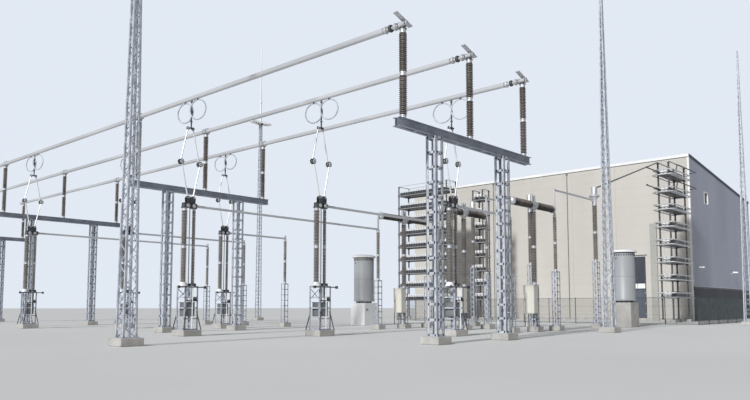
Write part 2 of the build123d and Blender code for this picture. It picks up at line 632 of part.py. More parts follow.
# Lightning masts, and a taller mast with a winged lamp platform and a needle
MAST_PLACES = [(YARD_X + x, YARD_Y + y) for x, y in (MAST_LEFT, MAST_RIGHT, MAST_FAR, LAMP_MAST)]
with BuildPart() as lattice_mast:
    sizes = (MAST_BASE, MAST_TOP, MAST_FLANGE, MAST_PLATE)
    lattice_tower(FOOTING_TOP, MAST_HEIGHT - FOOTING_TOP, *sizes, MAST_PANELS, True)
with BuildPart() as lattice_masts:
    with Locations(*MAST_PLACES):
        add(lattice_mast.part)
save(lattice_masts, "lattice_masts")

LAMP_PLACE = (YARD_X + LAMP_MAST[0], YARD_Y + LAMP_MAST[1])
with BuildPart() as lamp_platform:
    wing = LAMP_WINGS / 2
    wing_top = MAST_HEIGHT + LAMP_WING_HEIGHT
    with BuildSketch(Plane.XZ.offset(-(LAMP_PLACE[1] + LAMP_WING_WIDTH / 2))):
        with BuildLine():
            Polyline(
                (LAMP_PLACE[0] - MAST_TOP / 2, MAST_HEIGHT),
                (LAMP_PLACE[0] + MAST_TOP / 2, MAST_HEIGHT),
                (LAMP_PLACE[0] + wing, wing_top - LAMP_WING_EDGE),
                (LAMP_PLACE[0] + wing, wing_top),
                (LAMP_PLACE[0] - wing, wing_top),
                (LAMP_PLACE[0] - wing, wing_top - LAMP_WING_EDGE),
                close=True,
            )
        make_face()
    extrude(amount=LAMP_WING_WIDTH)
    needle_foot = MAST_HEIGHT + LAMP_WING_HEIGHT + FIT
    prisms([LAMP_PLACE], needle_foot, NEEDLE_HEIGHT, NEEDLE_ACROSS)
save(lamp_platform, "lamp_platform")

# Shrouded reactors on white plinths
REACTOR_PLACES = [(YARD_X + place_x, YARD_Y + place_y) for place_x, place_y in REACTORS]
with BuildPart() as reactor_plinths:
    blocks(REACTOR_PLACES, 0, PLINTH_HEIGHT, PLINTH_WIDTH, PLINTH_WIDTH)
save(reactor_plinths, "reactor_plinths")

TANK_BOTTOM = PLINTH_HEIGHT + TANK_FOOT
TANK_TOP = TANK_BOTTOM + TANK_HEIGHT
with BuildPart() as reactor_tanks:
    prisms(REACTOR_PLACES, PLINTH_HEIGHT, TANK_FOOT, TANK_FOOT_DIAMETER, TANK_SIDES)
    prisms(REACTOR_PLACES, TANK_BOTTOM, TANK_HEIGHT, TANK_DIAMETER, TANK_SIDES)
    prisms(REACTOR_PLACES, TANK_TOP, TANK_CAP_LIP, TANK_CAP_DIAMETER, TANK_SIDES)
    with BuildSketch(Plane.XY.offset(TANK_TOP + TANK_CAP_LIP)) as cap_outline:
        with Locations(*REACTOR_PLACES):
            regular(TANK_CAP_DIAMETER, TANK_SIDES)
    extrude(amount=TANK_CAP_HEIGHT - TANK_CAP_LIP, taper=TANK_CAP_TAPER)
save(reactor_tanks, "reactor_tanks")

# Capacitor towers: corner posts hold platforms between them, with two rows of cans on each
tower_feet = []
with BuildPart() as capacitor_racks:
    for place, size_x, size_y, levels in towers:
        post_x = (size_x - TOWER_POST) / 2
        post_y = (size_y - TOWER_POST) / 2
        corners = [(place[0] + a * post_x, place[1] + b * post_y) for a in (-1, 1) for b in (-1, 1)]
        tower_feet.extend(corners)
        top = levels[-1] + TOWER_HEADROOM
        blocks(corners, FOOTING_TOP, top - FOOTING_TOP, TOWER_POST, TOWER_POST)
        platform_length = size_y - 2 * TOWER_POST - 2 * FIT
        for level in levels:
            blocks([place], level, TIER_FRAME, size_x, platform_length)
        with BuildSketch(Plane.XY.offset(top - TIER_FRAME)):
            with Locations(place):
                Rectangle(size_x, size_y)
                Rectangle(size_x - 2 * TOWER_POST, size_y - 2 * TOWER_POST, mode=Mode.SUBTRACT)
        extrude(amount=TIER_FRAME)
save(capacitor_racks, "capacitor_racks")

with BuildPart() as capacitor_cans:
    for place, size_x, size_y, levels in towers:
        row_width = (size_x - CAN_MARGIN) / 2
        row_length = size_y - 2 * TOWER_POST - 2 * CAN_END_GAP
        rows = [(place[0] + side * (size_x - row_width) / 2, place[1]) for side in (-1, 1)]
        for level in levels:
            blocks(rows, level + TIER_FRAME, CAN_HEIGHT, row_width, row_length)
save(capacitor_cans, "capacitor_cans")

# Hall: floor, walls, monopitch roof, door with a louvre above it, and a gable window
FRONT_X = -HALL_DEPTH / 2
BACK_X = HALL_DEPTH / 2
NEAR_Y = -HALL_LENGTH / 2
FAR_Y = HALL_LENGTH / 2


def roof_top(x):
    """Height of the roof's upper face at a place along its fall."""
    return HALL_FRONT_HEIGHT + (HALL_BACK_HEIGHT - HALL_FRONT_HEIGHT) * (x - FRONT_X) / HALL_DEPTH


def wall_slab(start_x, end_x, bottom, start_y, length, mode=Mode.ADD):
    """Adds a wall between two X places, cut at the top by the underside of the roof."""
    with BuildSketch(Plane.XZ.offset(-(start_y + length))) as outline:
        with BuildLine():
            Polyline(
                (start_x, bottom),
                (end_x, bottom),
                (end_x, roof_top(end_x) - ROOF),
                (start_x, roof_top(start_x) - ROOF),
                close=True,
            )
        make_face()
    extrude(outline.sketch, amount=length, mode=mode)


with BuildPart() as hall_floor:
    blocks([(0, 0)], 0, FLOOR, HALL_DEPTH, HALL_LENGTH)
save(hall_floor, "hall_floor")

DOOR_NEAR_Y = NEAR_Y + DOOR_FROM_CORNER
DOOR_FAR_Y = DOOR_NEAR_Y + DOOR_WIDTH
with BuildPart() as front_wall_near:
    wall_slab(FRONT_X, FRONT_X + WALL, FLOOR, NEAR_Y, DOOR_FROM_CORNER)
save(front_wall_near, "front_wall_near")

with BuildPart() as front_wall_far:
    wall_slab(FRONT_X, FRONT_X + WALL, FLOOR, DOOR_FAR_Y, FAR_Y - DOOR_FAR_Y)
save(front_wall_far, "front_wall_far")

with BuildPart() as front_wall_over_door:
    wall_slab(FRONT_X, FRONT_X + WALL, LOUVRE_TOP, DOOR_NEAR_Y, DOOR_WIDTH)
save(front_wall_over_door, "front_wall_over_door")

with BuildPart() as back_wall:
    wall_slab(BACK_X - WALL, BACK_X, FLOOR, NEAR_Y, HALL_LENGTH)
save(back_wall, "back_wall")

with BuildPart() as near_gable:
    wall_slab(FRONT_X + WALL, BACK_X - WALL, FLOOR, NEAR_Y, WALL)
    with BuildSketch(Plane.XZ.offset(-(NEAR_Y + WALL))):
        with Locations((YARD_X + WINDOW_X, WINDOW_SILL + WINDOW_HEIGHT / 2)):
            Rectangle(WINDOW_WIDTH, WINDOW_HEIGHT)
    extrude(amount=WALL, mode=Mode.SUBTRACT)
save(near_gable, "near_gable")

with BuildPart() as far_gable:
    wall_slab(FRONT_X + WALL, BACK_X - WALL, FLOOR, FAR_Y - WALL, WALL)
save(far_gable, "far_gable")

with BuildPart() as gable_window:
    with BuildSketch(Plane.XZ.offset(-(NEAR_Y + WALL / 2 + GLASS / 2))):
        with Locations((YARD_X + WINDOW_X, WINDOW_SILL + WINDOW_HEIGHT / 2)):
            Rectangle(WINDOW_WIDTH, WINDOW_HEIGHT)
    extrude(amount=GLASS)
save(gable_window, "gable_window")

with BuildPart() as hall_roof:
    with BuildSketch(Plane.XZ.offset(-FAR_Y)):
        with BuildLine():
            Polyline(
                (FRONT_X, roof_top(FRONT_X) - ROOF),
                (BACK_X, roof_top(BACK_X) - ROOF),
                (BACK_X, roof_top(BACK_X)),
                (FRONT_X, roof_top(FRONT_X)),
                close=True,
            )
        make_face()
    extrude(amount=HALL_LENGTH)
save(hall_roof, "hall_roof")

# The door leaf is flush with the outer face and turns on barrels at its near edge
LEAF_WIDTH = DOOR_WIDTH - 2 * DOOR_GAP
LEAF_NEAR_Y = DOOR_NEAR_Y + DOOR_GAP
LEAF_BOTTOM = FLOOR + DOOR_GAP
LEAF_HEIGHT = DOOR_HEIGHT - 2 * DOOR_GAP
with BuildPart() as hall_door:
    leaf_place = (FRONT_X + DOOR_THICKNESS / 2, LEAF_NEAR_Y + LEAF_WIDTH / 2)
    blocks([leaf_place], LEAF_BOTTOM, LEAF_HEIGHT, DOOR_THICKNESS, LEAF_WIDTH)
    for share in (0.12, 0.5, 0.88):
        barrel_bottom = LEAF_BOTTOM + share * LEAF_HEIGHT - BARREL_HEIGHT / 2
        prisms([(FRONT_X, LEAF_NEAR_Y)], barrel_bottom, BARREL_HEIGHT, BARREL_ACROSS)
save(hall_door, "hall_door")

with BuildPart() as door_louvre:
    louvre_bottom = FLOOR + DOOR_HEIGHT
    louvre_place = (FRONT_X + WALL / 2, DOOR_NEAR_Y + DOOR_WIDTH / 2)
    blocks([louvre_place], louvre_bottom, LOUVRE_TOP - louvre_bottom, WALL, DOOR_WIDTH)
save(door_louvre, "door_louvre")

# A coping along the front, down-pipes below it and a band along the foot of the gable
with BuildPart() as hall_trim:
    with BuildSketch(Plane.XZ.offset(-FAR_Y)):
        with Locations((FRONT_X - COPING_PROUD / 2, HALL_FRONT_HEIGHT - COPING_HEIGHT / 2)):
            Rectangle(COPING_PROUD, COPING_HEIGHT)
    extrude(amount=HALL_LENGTH)
    pipe_x = FRONT_X - COPING_PROUD / 2
    pipes = [(pipe_x, NEAR_Y + share * HALL_LENGTH) for share in PIPE_SHARES]
    blocks(pipes, 0, HALL_FRONT_HEIGHT - COPING_HEIGHT, COPING_PROUD, COPING_PROUD)
    duct_place = (FRONT_X - DUCT_DEPTH / 2, YARD_Y + DUCT_Y)
    blocks([duct_place], 0, DUCT_HEIGHT, DUCT_DEPTH, DUCT_WIDTH)
save(hall_trim, "hall_trim")

# Wall lamps over the gable's band, each a flat head on a bracket
with BuildPart() as wall_lamps:
    lamp_y = NEAR_Y - LAMP_REACH
    for lamp_x, lamp_z in WALL_LAMPS:
        place_x = YARD_X + lamp_x
        prisms_along_y([(place_x, lamp_z)], lamp_y, LAMP_REACH, LAMP_BRACKET)
        head_middle = (place_x, lamp_y + LAMP_LENGTH / 2)
        blocks([head_middle], lamp_z - LAMP_THICKNESS, LAMP_THICKNESS, LAMP_WIDTH, LAMP_LENGTH)
save(wall_lamps, "wall_lamps")

with BuildPart() as gable_band:
    blocks([(0, NEAR_Y - BAND_PROUD / 2)], 0, BAND_HEIGHT, HALL_DEPTH, BAND_PROUD)
save(gable_band, "gable_band")

# Fence: posts tied by a top and a bottom rail, in a front run and a side run
FENCE_CORNER_X = YARD_X + FENCE_X
FENCE_CORNER_Y = YARD_Y + FENCE_NEAR_Y
FENCE_RAILS = (0, FENCE_HEIGHT - FENCE_RAIL)
with BuildPart() as fence:
    front_run = FENCE_FRONT_BAYS * FENCE_BAY
    side_end = FENCE_CORNER_X + FENCE_SIDE_BAYS * FENCE_BAY
    side_start = FENCE_CORNER_X + FENCE_POST / 2 + FIT
    posts = [(FENCE_CORNER_X, FENCE_CORNER_Y + count * FENCE_BAY) for count in range(FENCE_FRONT_BAYS + 1)]
    posts += [(FENCE_CORNER_X + (count + 1) * FENCE_BAY, FENCE_CORNER_Y) for count in range(FENCE_SIDE_BAYS)]
    blocks(posts, 0, FENCE_HEIGHT, FENCE_POST, FENCE_POST)
    for level in FENCE_RAILS:
        front_middle = [(FENCE_CORNER_X, FENCE_CORNER_Y + front_run / 2)]
        blocks(front_middle, level, FENCE_RAIL, FENCE_POST, front_run)
        side_middle = [((side_start + side_end) / 2, FENCE_CORNER_Y)]
        blocks(side_middle, level, FENCE_RAIL, side_end - side_start, FENCE_POST)
save(fence, "fence")

# Concrete footings under everything that stands in the yard
with BuildPart() as footings:
    for places, size in (
        (LEG_PLACES, LEG_FOOTING),
        (POLE_PLACES, POLE_FOOTING),
        (FEEDER_POSTS + BREAKER_POSTS + BREAKERS + ARRESTERS, POST_FOOTING),
        (MAST_PLACES, MAST_FOOTING),
        (tower_feet, TOWER_FOOTING),
    ):
        blocks(places, 0, FOOTING_TOP, size, size)
save(footings, "footings")
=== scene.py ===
# %% [markdown]
# # Dressing a converter station
# A converter station links a power line that carries direct current to the three-phase grid.
# The model shows its hall and the switchyard in front of it at one tenth of real size.
# The CAD model already gives every piece its place, so this lesson starts by loading it
# as a fixed frame. Everything that follows is in metres, in the same frame.

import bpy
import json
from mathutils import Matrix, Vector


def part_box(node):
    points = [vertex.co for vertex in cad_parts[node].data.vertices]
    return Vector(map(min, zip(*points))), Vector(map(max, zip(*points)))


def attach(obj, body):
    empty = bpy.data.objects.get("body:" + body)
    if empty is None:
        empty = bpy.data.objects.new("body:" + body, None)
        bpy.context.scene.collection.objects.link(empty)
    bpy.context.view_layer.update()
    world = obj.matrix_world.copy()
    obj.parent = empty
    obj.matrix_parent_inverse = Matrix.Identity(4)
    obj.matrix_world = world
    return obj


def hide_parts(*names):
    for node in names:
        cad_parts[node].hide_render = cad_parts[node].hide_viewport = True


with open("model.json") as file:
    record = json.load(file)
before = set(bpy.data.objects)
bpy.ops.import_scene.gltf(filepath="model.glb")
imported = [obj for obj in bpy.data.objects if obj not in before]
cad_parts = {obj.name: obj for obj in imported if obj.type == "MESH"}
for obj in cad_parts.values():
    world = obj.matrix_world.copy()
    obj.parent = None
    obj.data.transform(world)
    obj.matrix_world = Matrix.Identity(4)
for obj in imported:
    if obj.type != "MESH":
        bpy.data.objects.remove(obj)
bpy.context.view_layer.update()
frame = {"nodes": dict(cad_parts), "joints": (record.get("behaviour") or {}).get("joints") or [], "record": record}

# %% Tools and directions used throughout
import json
import math

import bmesh
import bpy
from mathutils import Vector

x_axis, y_axis, up = Vector((1, 0, 0)), Vector((0, 1, 0)), Vector((0, 0, 1))
print("the yard runs along", tuple(y_axis), "and up is", tuple(up))

# %% [markdown]
# ## Camera
# The photograph was taken at eye height near the corner of the yard, with a camera held
# level. Its upright lines stay upright, and the horizon lies low in the picture. A shift of
# the lens does that without tilting the camera much.

# %% Camera at the photograph's viewpoint
camera_data = bpy.data.cameras.new("camera")
camera_data.lens = 33.459
camera_data.sensor_width = 36
camera_data.shift_y = 0.0641
camera_data.clip_end = 400
camera = bpy.data.objects.new("camera", camera_data)
camera.location = (-10.033, -4.861, 0.16)
camera.rotation_euler = [math.radians(a) for a in (94.866, 0, -48.057)]
bpy.context.collection.objects.link(camera)
bpy.context.scene.camera = camera
print("camera at", tuple(round(v, 3) for v in camera.location))

# %% [markdown]
# ## Light
# A sun from behind the camera's left shoulder models round insulators and leaves the gable
# darker than the front, as daylight does. The sky is a plain pale dome. Light Path lets the
# camera see a paler backdrop than the one that lights the object.

# %% Sun
sun_data = bpy.data.lights.new("sun", "SUN")
sun_data.energy = 3.2
sun_data.angle = math.radians(5)
sun = bpy.data.objects.new("sun", sun_data)
sun.rotation_euler = [math.radians(a) for a in (62, 0, -80)]
bpy.context.collection.objects.link(sun)
print("sun strength", sun_data.energy)

# %% Sky and view
world = bpy.data.worlds.new("sky")
world.use_nodes = True
bpy.context.scene.world = world
sky_nodes, sky_links = world.node_tree.nodes, world.node_tree.links
dome = sky_nodes["Background"]
dome.inputs["Color"].default_value = (0.86, 0.92, 1.0, 1)
dome.inputs["Strength"].default_value = 0.27
backdrop = sky_nodes.new("ShaderNodeBackground")
backdrop.inputs["Color"].default_value = (0.80, 0.86, 0.95, 1)
backdrop.inputs["Strength"].default_value = 0.95
ray = sky_nodes.new("ShaderNodeLightPath")
seen = sky_nodes.new("ShaderNodeMath")
seen.operation = "MAXIMUM"
sky_links.new(ray.outputs["Is Camera Ray"], seen.inputs[0])
sky_links.new(ray.outputs["Is Transmission Ray"], seen.inputs[1])
choice = sky_nodes.new("ShaderNodeMixShader")
sky_links.new(seen.outputs[0], choice.inputs[0])
sky_links.new(dome.outputs[0], choice.inputs[1])
sky_links.new(backdrop.outputs[0], choice.inputs[2])
sky_links.new(choice.outputs[0], sky_nodes["World Output"].inputs["Surface"])
bpy.context.scene.view_settings.view_transform = "Standard"
print("dome strength", dome.inputs["Strength"].default_value)

# %% [markdown]
# ## Finishes
# Galvanised steel, glazed porcelain and painted sheet are never one flat colour. Each finish
# below mixes two close tones with noise, lets the roughness wander, and adds a fine relief.
# All textures read Object coordinates, so they stay at the model's own scale on every piece.

# %% A helper that builds a finish
for flat_colour in list(bpy.data.materials):
    bpy.data.materials.remove(flat_colour)
finishes = {}
TALL_GRAIN = (1, 1, 0.3)
ROUGHNESS_SWING = 0.08


def finish(name, tone, second, roughness, metallic=0.0, grain=12.0,
           stretch=(1, 1, 1), relief=0.0, relief_grain=300.0):
    """A surface of two mixed tones with a fine relief, read in object coordinates."""
    material = bpy.data.materials.new(name)
    material.use_nodes = True
    nodes, links = material.node_tree.nodes, material.node_tree.links
    shader = nodes["Principled BSDF"]
    shader.inputs["Metallic"].default_value = metallic
    where = nodes.new("ShaderNodeTexCoord")
    mapping = nodes.new("ShaderNodeMapping")
    mapping.inputs["Scale"].default_value = stretch
    links.new(where.outputs["Object"], mapping.inputs["Vector"])
    noise = nodes.new("ShaderNodeTexNoise")
    noise.inputs["Scale"].default_value = grain
    noise.inputs["Detail"].default_value = 6
    links.new(mapping.outputs["Vector"], noise.inputs["Vector"])
    ramp = nodes.new("ShaderNodeValToRGB")
    ramp.name = "tones"
    ramp.color_ramp.elements[0].position = 0.35
    ramp.color_ramp.elements[0].color = (*tone, 1)
    ramp.color_ramp.elements[1].position = 0.65
    ramp.color_ramp.elements[1].color = (*second, 1)
    links.new(noise.outputs["Fac"], ramp.inputs["Fac"])
    links.new(ramp.outputs["Color"], shader.inputs["Base Color"])
    wander = nodes.new("ShaderNodeMapRange")
    wander.inputs["To Min"].default_value = max(roughness - ROUGHNESS_SWING, 0.05)
    wander.inputs["To Max"].default_value = min(roughness + ROUGHNESS_SWING, 1)
    links.new(noise.outputs["Fac"], wander.inputs["Value"])
    links.new(wander.outputs["Result"], shader.inputs["Roughness"])
    if relief:
        fine = nodes.new("ShaderNodeTexNoise")
        fine.inputs["Scale"].default_value = relief_grain
        fine.inputs["Detail"].default_value = 3
        links.new(where.outputs["Object"], fine.inputs["Vector"])
        bump = nodes.new("ShaderNodeBump")
        bump.name = "relief"
        bump.inputs["Strength"].default_value = 0.6
        bump.inputs["Distance"].default_value = relief
        links.new(fine.outputs["Fac"], bump.inputs["Height"])
        links.new(bump.outputs["Normal"], shader.inputs["Normal"])
    finishes[name] = material
    return material


# %% Metals
steel = finish("galvanised_steel", (0.40, 0.43, 0.49), (0.60, 0.635, 0.70),
               0.45, metallic=0.2, grain=40, relief=0.0004)
# The beams' darker, bluer steel is painted shade: beams and ties are the same galvanised steel as the legs, drawn
# as they look in shade.
shaded_beam_steel = finish("weathered_beams", (0.26, 0.285, 0.34), (0.37, 0.40, 0.46),
                    0.5, metallic=0.15, grain=12, relief=0.0004)
tube_metal = finish("aluminium_tube", (0.56, 0.57, 0.59), (0.67, 0.68, 0.70),
                    0.35, metallic=0.3, grain=6, stretch=(1, 0.3, 1), relief=0.0002)
cast_metal = finish("cast_aluminium", (0.52, 0.53, 0.55), (0.68, 0.69, 0.71),
                    0.48, metallic=0.5, grain=25, relief=0.0005)
arm_metal = finish("arm_aluminium", (0.78, 0.79, 0.81), (0.88, 0.89, 0.90),
                   0.36, metallic=0.35, grain=10)
dark_casting = finish("dark_casting", (0.045, 0.047, 0.052), (0.11, 0.11, 0.12),
                      0.5, metallic=0.4, grain=30, relief=0.0005)

# %% Porcelain and concrete
porcelain = finish("brown_porcelain", (0.185, 0.162, 0.145), (0.290, 0.262, 0.240),
                   0.32, grain=9, relief=0.0002)
# A lighter tone of the brown porcelain, for the disconnector columns, the equipment posts and the breaker columns.
weathered_porcelain = finish("weathered_porcelain", (0.270, 0.248, 0.230), (0.400, 0.372, 0.350),
                             0.4, grain=9, relief=0.0002)
lying_porcelain = finish("lying_porcelain", (0.144, 0.130, 0.120), (0.236, 0.216, 0.200),
                         0.32, grain=9, relief=0.0002)
grey_porcelain = finish("grey_porcelain", (0.19, 0.185, 0.18), (0.30, 0.29, 0.28), 0.35)
white_porcelain = finish("white_porcelain", (0.74, 0.75, 0.76), (0.84, 0.85, 0.86), 0.3)
concrete = finish("concrete", (0.37, 0.36, 0.34), (0.50, 0.485, 0.455),
                  0.9, grain=14, relief=0.0012, relief_grain=160)

# %% Paints
beige_paint = finish("beige_paint", (0.62, 0.60, 0.53), (0.72, 0.70, 0.63),
                     0.5, grain=5, stretch=TALL_GRAIN, relief=0.0002)
grey_paint = finish("grey_paint", (0.335, 0.350, 0.362), (0.395, 0.412, 0.424),
                    0.45, grain=4, stretch=(1, 1, 0.25), relief=0.0002)
can_grey = finish("can_grey", (0.56, 0.60, 0.63), (0.70, 0.73, 0.75),
                  0.45, metallic=0.2, grain=8, relief=0.0002)
plinth_white = finish("plinth_white", (0.80, 0.81, 0.80), (0.88, 0.88, 0.87),
                      0.6, grain=5, stretch=TALL_GRAIN, relief=0.0003)
white_trim = finish("white_trim", (0.74, 0.75, 0.75), (0.82, 0.82, 0.81), 0.5, grain=5)
pipe_grey = finish("pipe_grey", (0.15, 0.155, 0.165), (0.20, 0.205, 0.215),
                   0.5, metallic=0.1, grain=6)
can_dark = finish("can_dark", (0.075, 0.080, 0.088), (0.13, 0.135, 0.145),
                  0.4, metallic=0.2, grain=10)
duct_grey = finish("duct_grey", (0.33, 0.325, 0.300), (0.39, 0.385, 0.358),
                   0.55, grain=5, stretch=TALL_GRAIN)
dark_door = finish("dark_door", (0.085, 0.10, 0.13), (0.13, 0.145, 0.175),
                   0.45, metallic=0.1, grain=6, stretch=TALL_GRAIN)
dark_fence = finish("dark_fence", (0.030, 0.042, 0.045), (0.060, 0.075, 0.078),
                    0.5, metallic=0.1, grain=20)
glass = finish("window_glass", (0.035, 0.045, 0.060), (0.055, 0.068, 0.085), 0.12, grain=3)
print(len(finishes), "finishes so far")

# %% [markdown]
# ## Cladding with joints
# The hall is clad in sheet. The joints between sheets and the ribs pressed into them are
# too fine to model one by one on walls this long, so they are drawn by arithmetic on the
# object coordinates: a coordinate is divided by the sheet's width, and the remainder says
# how near the joint is. The same value darkens the colour and dents the surface.

# %% A helper that adds joints to a finish
def add_joints_and_shadow_lines(material, axis, pitch, width, shade, depth):
    """Draws regular dark, dented lines across one axis: real joints on cladding, painted shade between sheds on
    porcelain.
    """
    nodes, links = material.node_tree.nodes, material.node_tree.links
    shader = nodes["Principled BSDF"]
    where = nodes.new("ShaderNodeTexCoord")
    split = nodes.new("ShaderNodeSeparateXYZ")
    links.new(where.outputs["Object"], split.inputs["Vector"])
    share = nodes.new("ShaderNodeMath")
    share.operation = "DIVIDE"
    share.inputs[1].default_value = pitch
    links.new(split.outputs[axis], share.inputs[0])
    wrap = nodes.new("ShaderNodeMath")
    wrap.operation = "FRACT"
    links.new(share.outputs[0], wrap.inputs[0])
    near = nodes.new("ShaderNodeMapRange")
    near.interpolation_type = "SMOOTHSTEP"
    near.inputs["From Max"].default_value = width / pitch
    near.inputs["To Min"].default_value = 1
    near.inputs["To Max"].default_value = 0
    links.new(wrap.outputs[0], near.inputs["Value"])
    mix = nodes.new("ShaderNodeMix")
    mix.data_type = "RGBA"
    mix.blend_type = "MULTIPLY"
    links.new(near.outputs["Result"], mix.inputs["Factor"])
    before = shader.inputs["Base Color"].links[0].from_socket
    links.new(before, mix.inputs["A"])
    mix.inputs["B"].default_value = (shade, shade, shade, 1)
    links.new(mix.outputs["Result"], shader.inputs["Base Color"])
    bump = nodes.new("ShaderNodeBump")
    bump.invert = True
    bump.inputs["Distance"].default_value = depth
    bump.inputs["Strength"].default_value = 0.8
    links.new(near.outputs["Result"], bump.inputs["Height"])
    if shader.inputs["Normal"].links:
        links.new(shader.inputs["Normal"].links[0].from_socket, bump.inputs["Normal"])
    links.new(bump.outputs["Normal"], shader.inputs["Normal"])


# %% Cladding of the hall
cream = finish("cream_cladding", (0.500, 0.476, 0.440), (0.546, 0.520, 0.482),
               0.6, grain=2.2, stretch=(1, 1, 0.35), relief=0.0003)
add_joints_and_shadow_lines(cream, "Y", pitch=0.60, width=0.006, shade=0.80, depth=0.002)
add_joints_and_shadow_lines(cream, "Z", pitch=0.12, width=0.004, shade=0.92, depth=0.001)
# The gable's darker, bluer grey is painted shade: it is the front's cladding, drawn as it looks in shade under the
# sky.
gable_sheet_painted_shade = finish("blue_grey_cladding", (0.375, 0.393, 0.470), (0.425, 0.445, 0.530),
                     0.55, metallic=0.1, grain=2.5, stretch=TALL_GRAIN, relief=0.0003)
add_joints_and_shadow_lines(gable_sheet_painted_shade, "X", pitch=0.03, width=0.008, shade=0.88, depth=0.003)
add_joints_and_shadow_lines(gable_sheet_painted_shade, "X", pitch=0.30, width=0.006, shade=0.78, depth=0.002)
dark_sheet = finish("dark_cladding", (0.051, 0.055, 0.070), (0.073, 0.077, 0.094),
                    0.6, metallic=0.1, grain=4, stretch=TALL_GRAIN, relief=0.0003)
add_joints_and_shadow_lines(dark_sheet, "X", pitch=0.10, width=0.005, shade=0.75, depth=0.002)
roof_sheet = finish("roof_sheet", (0.16, 0.17, 0.20), (0.22, 0.23, 0.26),
                    0.6, metallic=0.1, grain=3, relief=0.0004)
add_joints_and_shadow_lines(roof_sheet, "Y", pitch=0.05, width=0.006, shade=0.80, depth=0.003)
print(len(finishes), "finishes in all")

# %% Shadow lines between sheds
for glazed, axis in ((porcelain, "Z"), (weathered_porcelain, "Z"), (lying_porcelain, "X")):
    # Painted shade: the dark bands on these porcelain cores stand for the shade between the sheds.
    add_joints_and_shadow_lines(glazed, axis, pitch=0.018, width=0.010, shade=0.55, depth=0.0004)
print("shadow lines drawn on three finishes")

# %% [markdown]
# ## The CAD nodes get their finishes
# A CAD node whose shape is right stays in the picture. It only swaps the flat colour it came
# with for the finish of the same name, which the model's record lists for every node.

# %% Finishes on the CAD nodes
for subpart in frame["record"]["subparts"]:
    cad_object = frame["nodes"][subpart["node"]]
    cad_object.data.materials.clear()
    cad_object.data.materials.append(finishes[subpart["material_slot"]])

# %% [markdown]
# ## The floor
# A plain pale floor carries the model's shadow and runs to the horizon. One large face is
# enough for it.

# %% Floor
REACH = 120
floor_mesh = bpy.data.meshes.new("floor")
floor_corners = [(-REACH, -REACH, 0), (REACH, -REACH, 0), (REACH, REACH, 0), (-REACH, REACH, 0)]
floor_mesh.from_pydata(floor_corners, [], [(0, 1, 2, 3)])
floor = bpy.data.objects.new("floor", floor_mesh)
floor.location.z = -0.0005
bpy.context.collection.objects.link(floor)
floor_mesh.materials.append(finish("floor_paint", (0.76, 0.755, 0.74), (0.80, 0.795, 0.78), 0.9, grain=0.6))

# %% [markdown]
# ## Reading places from the CAD
# A node such as the post insulators holds many separate solids. Their places are read back
# from the mesh: corners that share an edge belong to one solid. Each solid comes back as
# its list of corners, so later cells can ask for its box or for the middles of its ends.

# %% Separate solids of a node
def solids(node):
    """The corners of each separate solid in a CAD node, sorted by place."""
    bm = bmesh.new()
    bm.from_mesh(frame["nodes"][node].data)
    bmesh.ops.remove_doubles(bm, verts=bm.verts, dist=1e-5)
    todo = set(bm.verts)
    found = []
    while todo:
        front = [todo.pop()]
        corners = []
        while front:
            corner = front.pop()
            corners.append(corner.co.copy())
            for edge in corner.link_edges:
                other = edge.other_vert(corner)
                if other in todo:
                    todo.remove(other)
                    front.append(other)
        found.append(corners)
    bm.free()
    return sorted(found, key=lambda corners: [round(v, 2) for v in sum(corners, Vector()) / len(corners)])


def box_of(corners):
    """Lowest and highest corner of a list of points."""
    low = Vector([min(c[i] for c in corners) for i in range(3)])
    high = Vector([max(c[i] for c in corners) for i in range(3)])
    return low, high


def boxes(node):
    """The boxes of the separate solids in a CAD node."""
    return [box_of(solid) for solid in solids(node)]


print("post insulators on the portals:", len(boxes("busbar_posts")))

# %% Middles, heights and ends of solids
def centre_of(low, high):
    return (low + high) / 2


def height_of(box):
    return box[1].z - box[0].z


def ends_of(corners, axis):
    """Middles of the two end faces of a bar that runs along an axis."""
    low = min(c[axis] for c in corners)
    high = max(c[axis] for c in corners)
    near = [c for c in corners if c[axis] < low + 0.004]
    far = [c for c in corners if c[axis] > high - 0.004]
    return sum(near, Vector()) / len(near), sum(far, Vector()) / len(far)


print("a beam is", round(height_of(boxes("portal_beams")[0]), 3), "high")

# %% [markdown]
# ## Shapes
# Most yard equipment is turned, tubular or folded from plate. A few small helpers cover it:
# one turns a profile on a lathe, one draws a hoop, one makes a plate or box, and one turns
# the collected faces into a finished piece that rides on a body of the model.

# %% Lathe
def circle(centre, first, second, radius, count):
    """Points of a circle that two directions span."""
    angles = [2 * math.pi * i / count for i in range(count)]
    return [centre + (first * math.cos(a) + second * math.sin(a)) * radius for a in angles]


def turned(bm, start, axis, profile, sides=20, index=0):
    """Turns (distance, radius) pairs about an axis, closed at both ends."""
    along = axis.normalized()
    across = along.orthogonal().normalized()
    third = along.cross(across)
    rings = []
    for distance, radius in profile:
        centre = Vector(start) + along * distance
        spots = circle(centre, across, third, radius, sides) if radius else [centre]
        rings.append([bm.verts.new(spot) for spot in spots])
    faces = []
    for low, high in zip(rings, rings[1:]):
        for i in range(sides):
            j = (i + 1) % sides
            if len(low) == 1:
                faces.append((low[0], high[j], high[i]))
            elif len(high) == 1:
                faces.append((low[i], low[j], high[0]))
            else:
                faces.append((low[i], low[j], high[j], high[i]))
    faces += [ring for ring in (rings[0][::-1], rings[-1]) if len(ring) > 1]
    for corners in faces:
        bm.faces.new(corners).material_index = index


def tube(bm, start, end, radius, sides=16, index=0):
    """A straight closed tube between two points."""
    run = Vector(end) - Vector(start)
    turned(bm, start, run, [(0, radius), (run.length, radius)], sides, index)


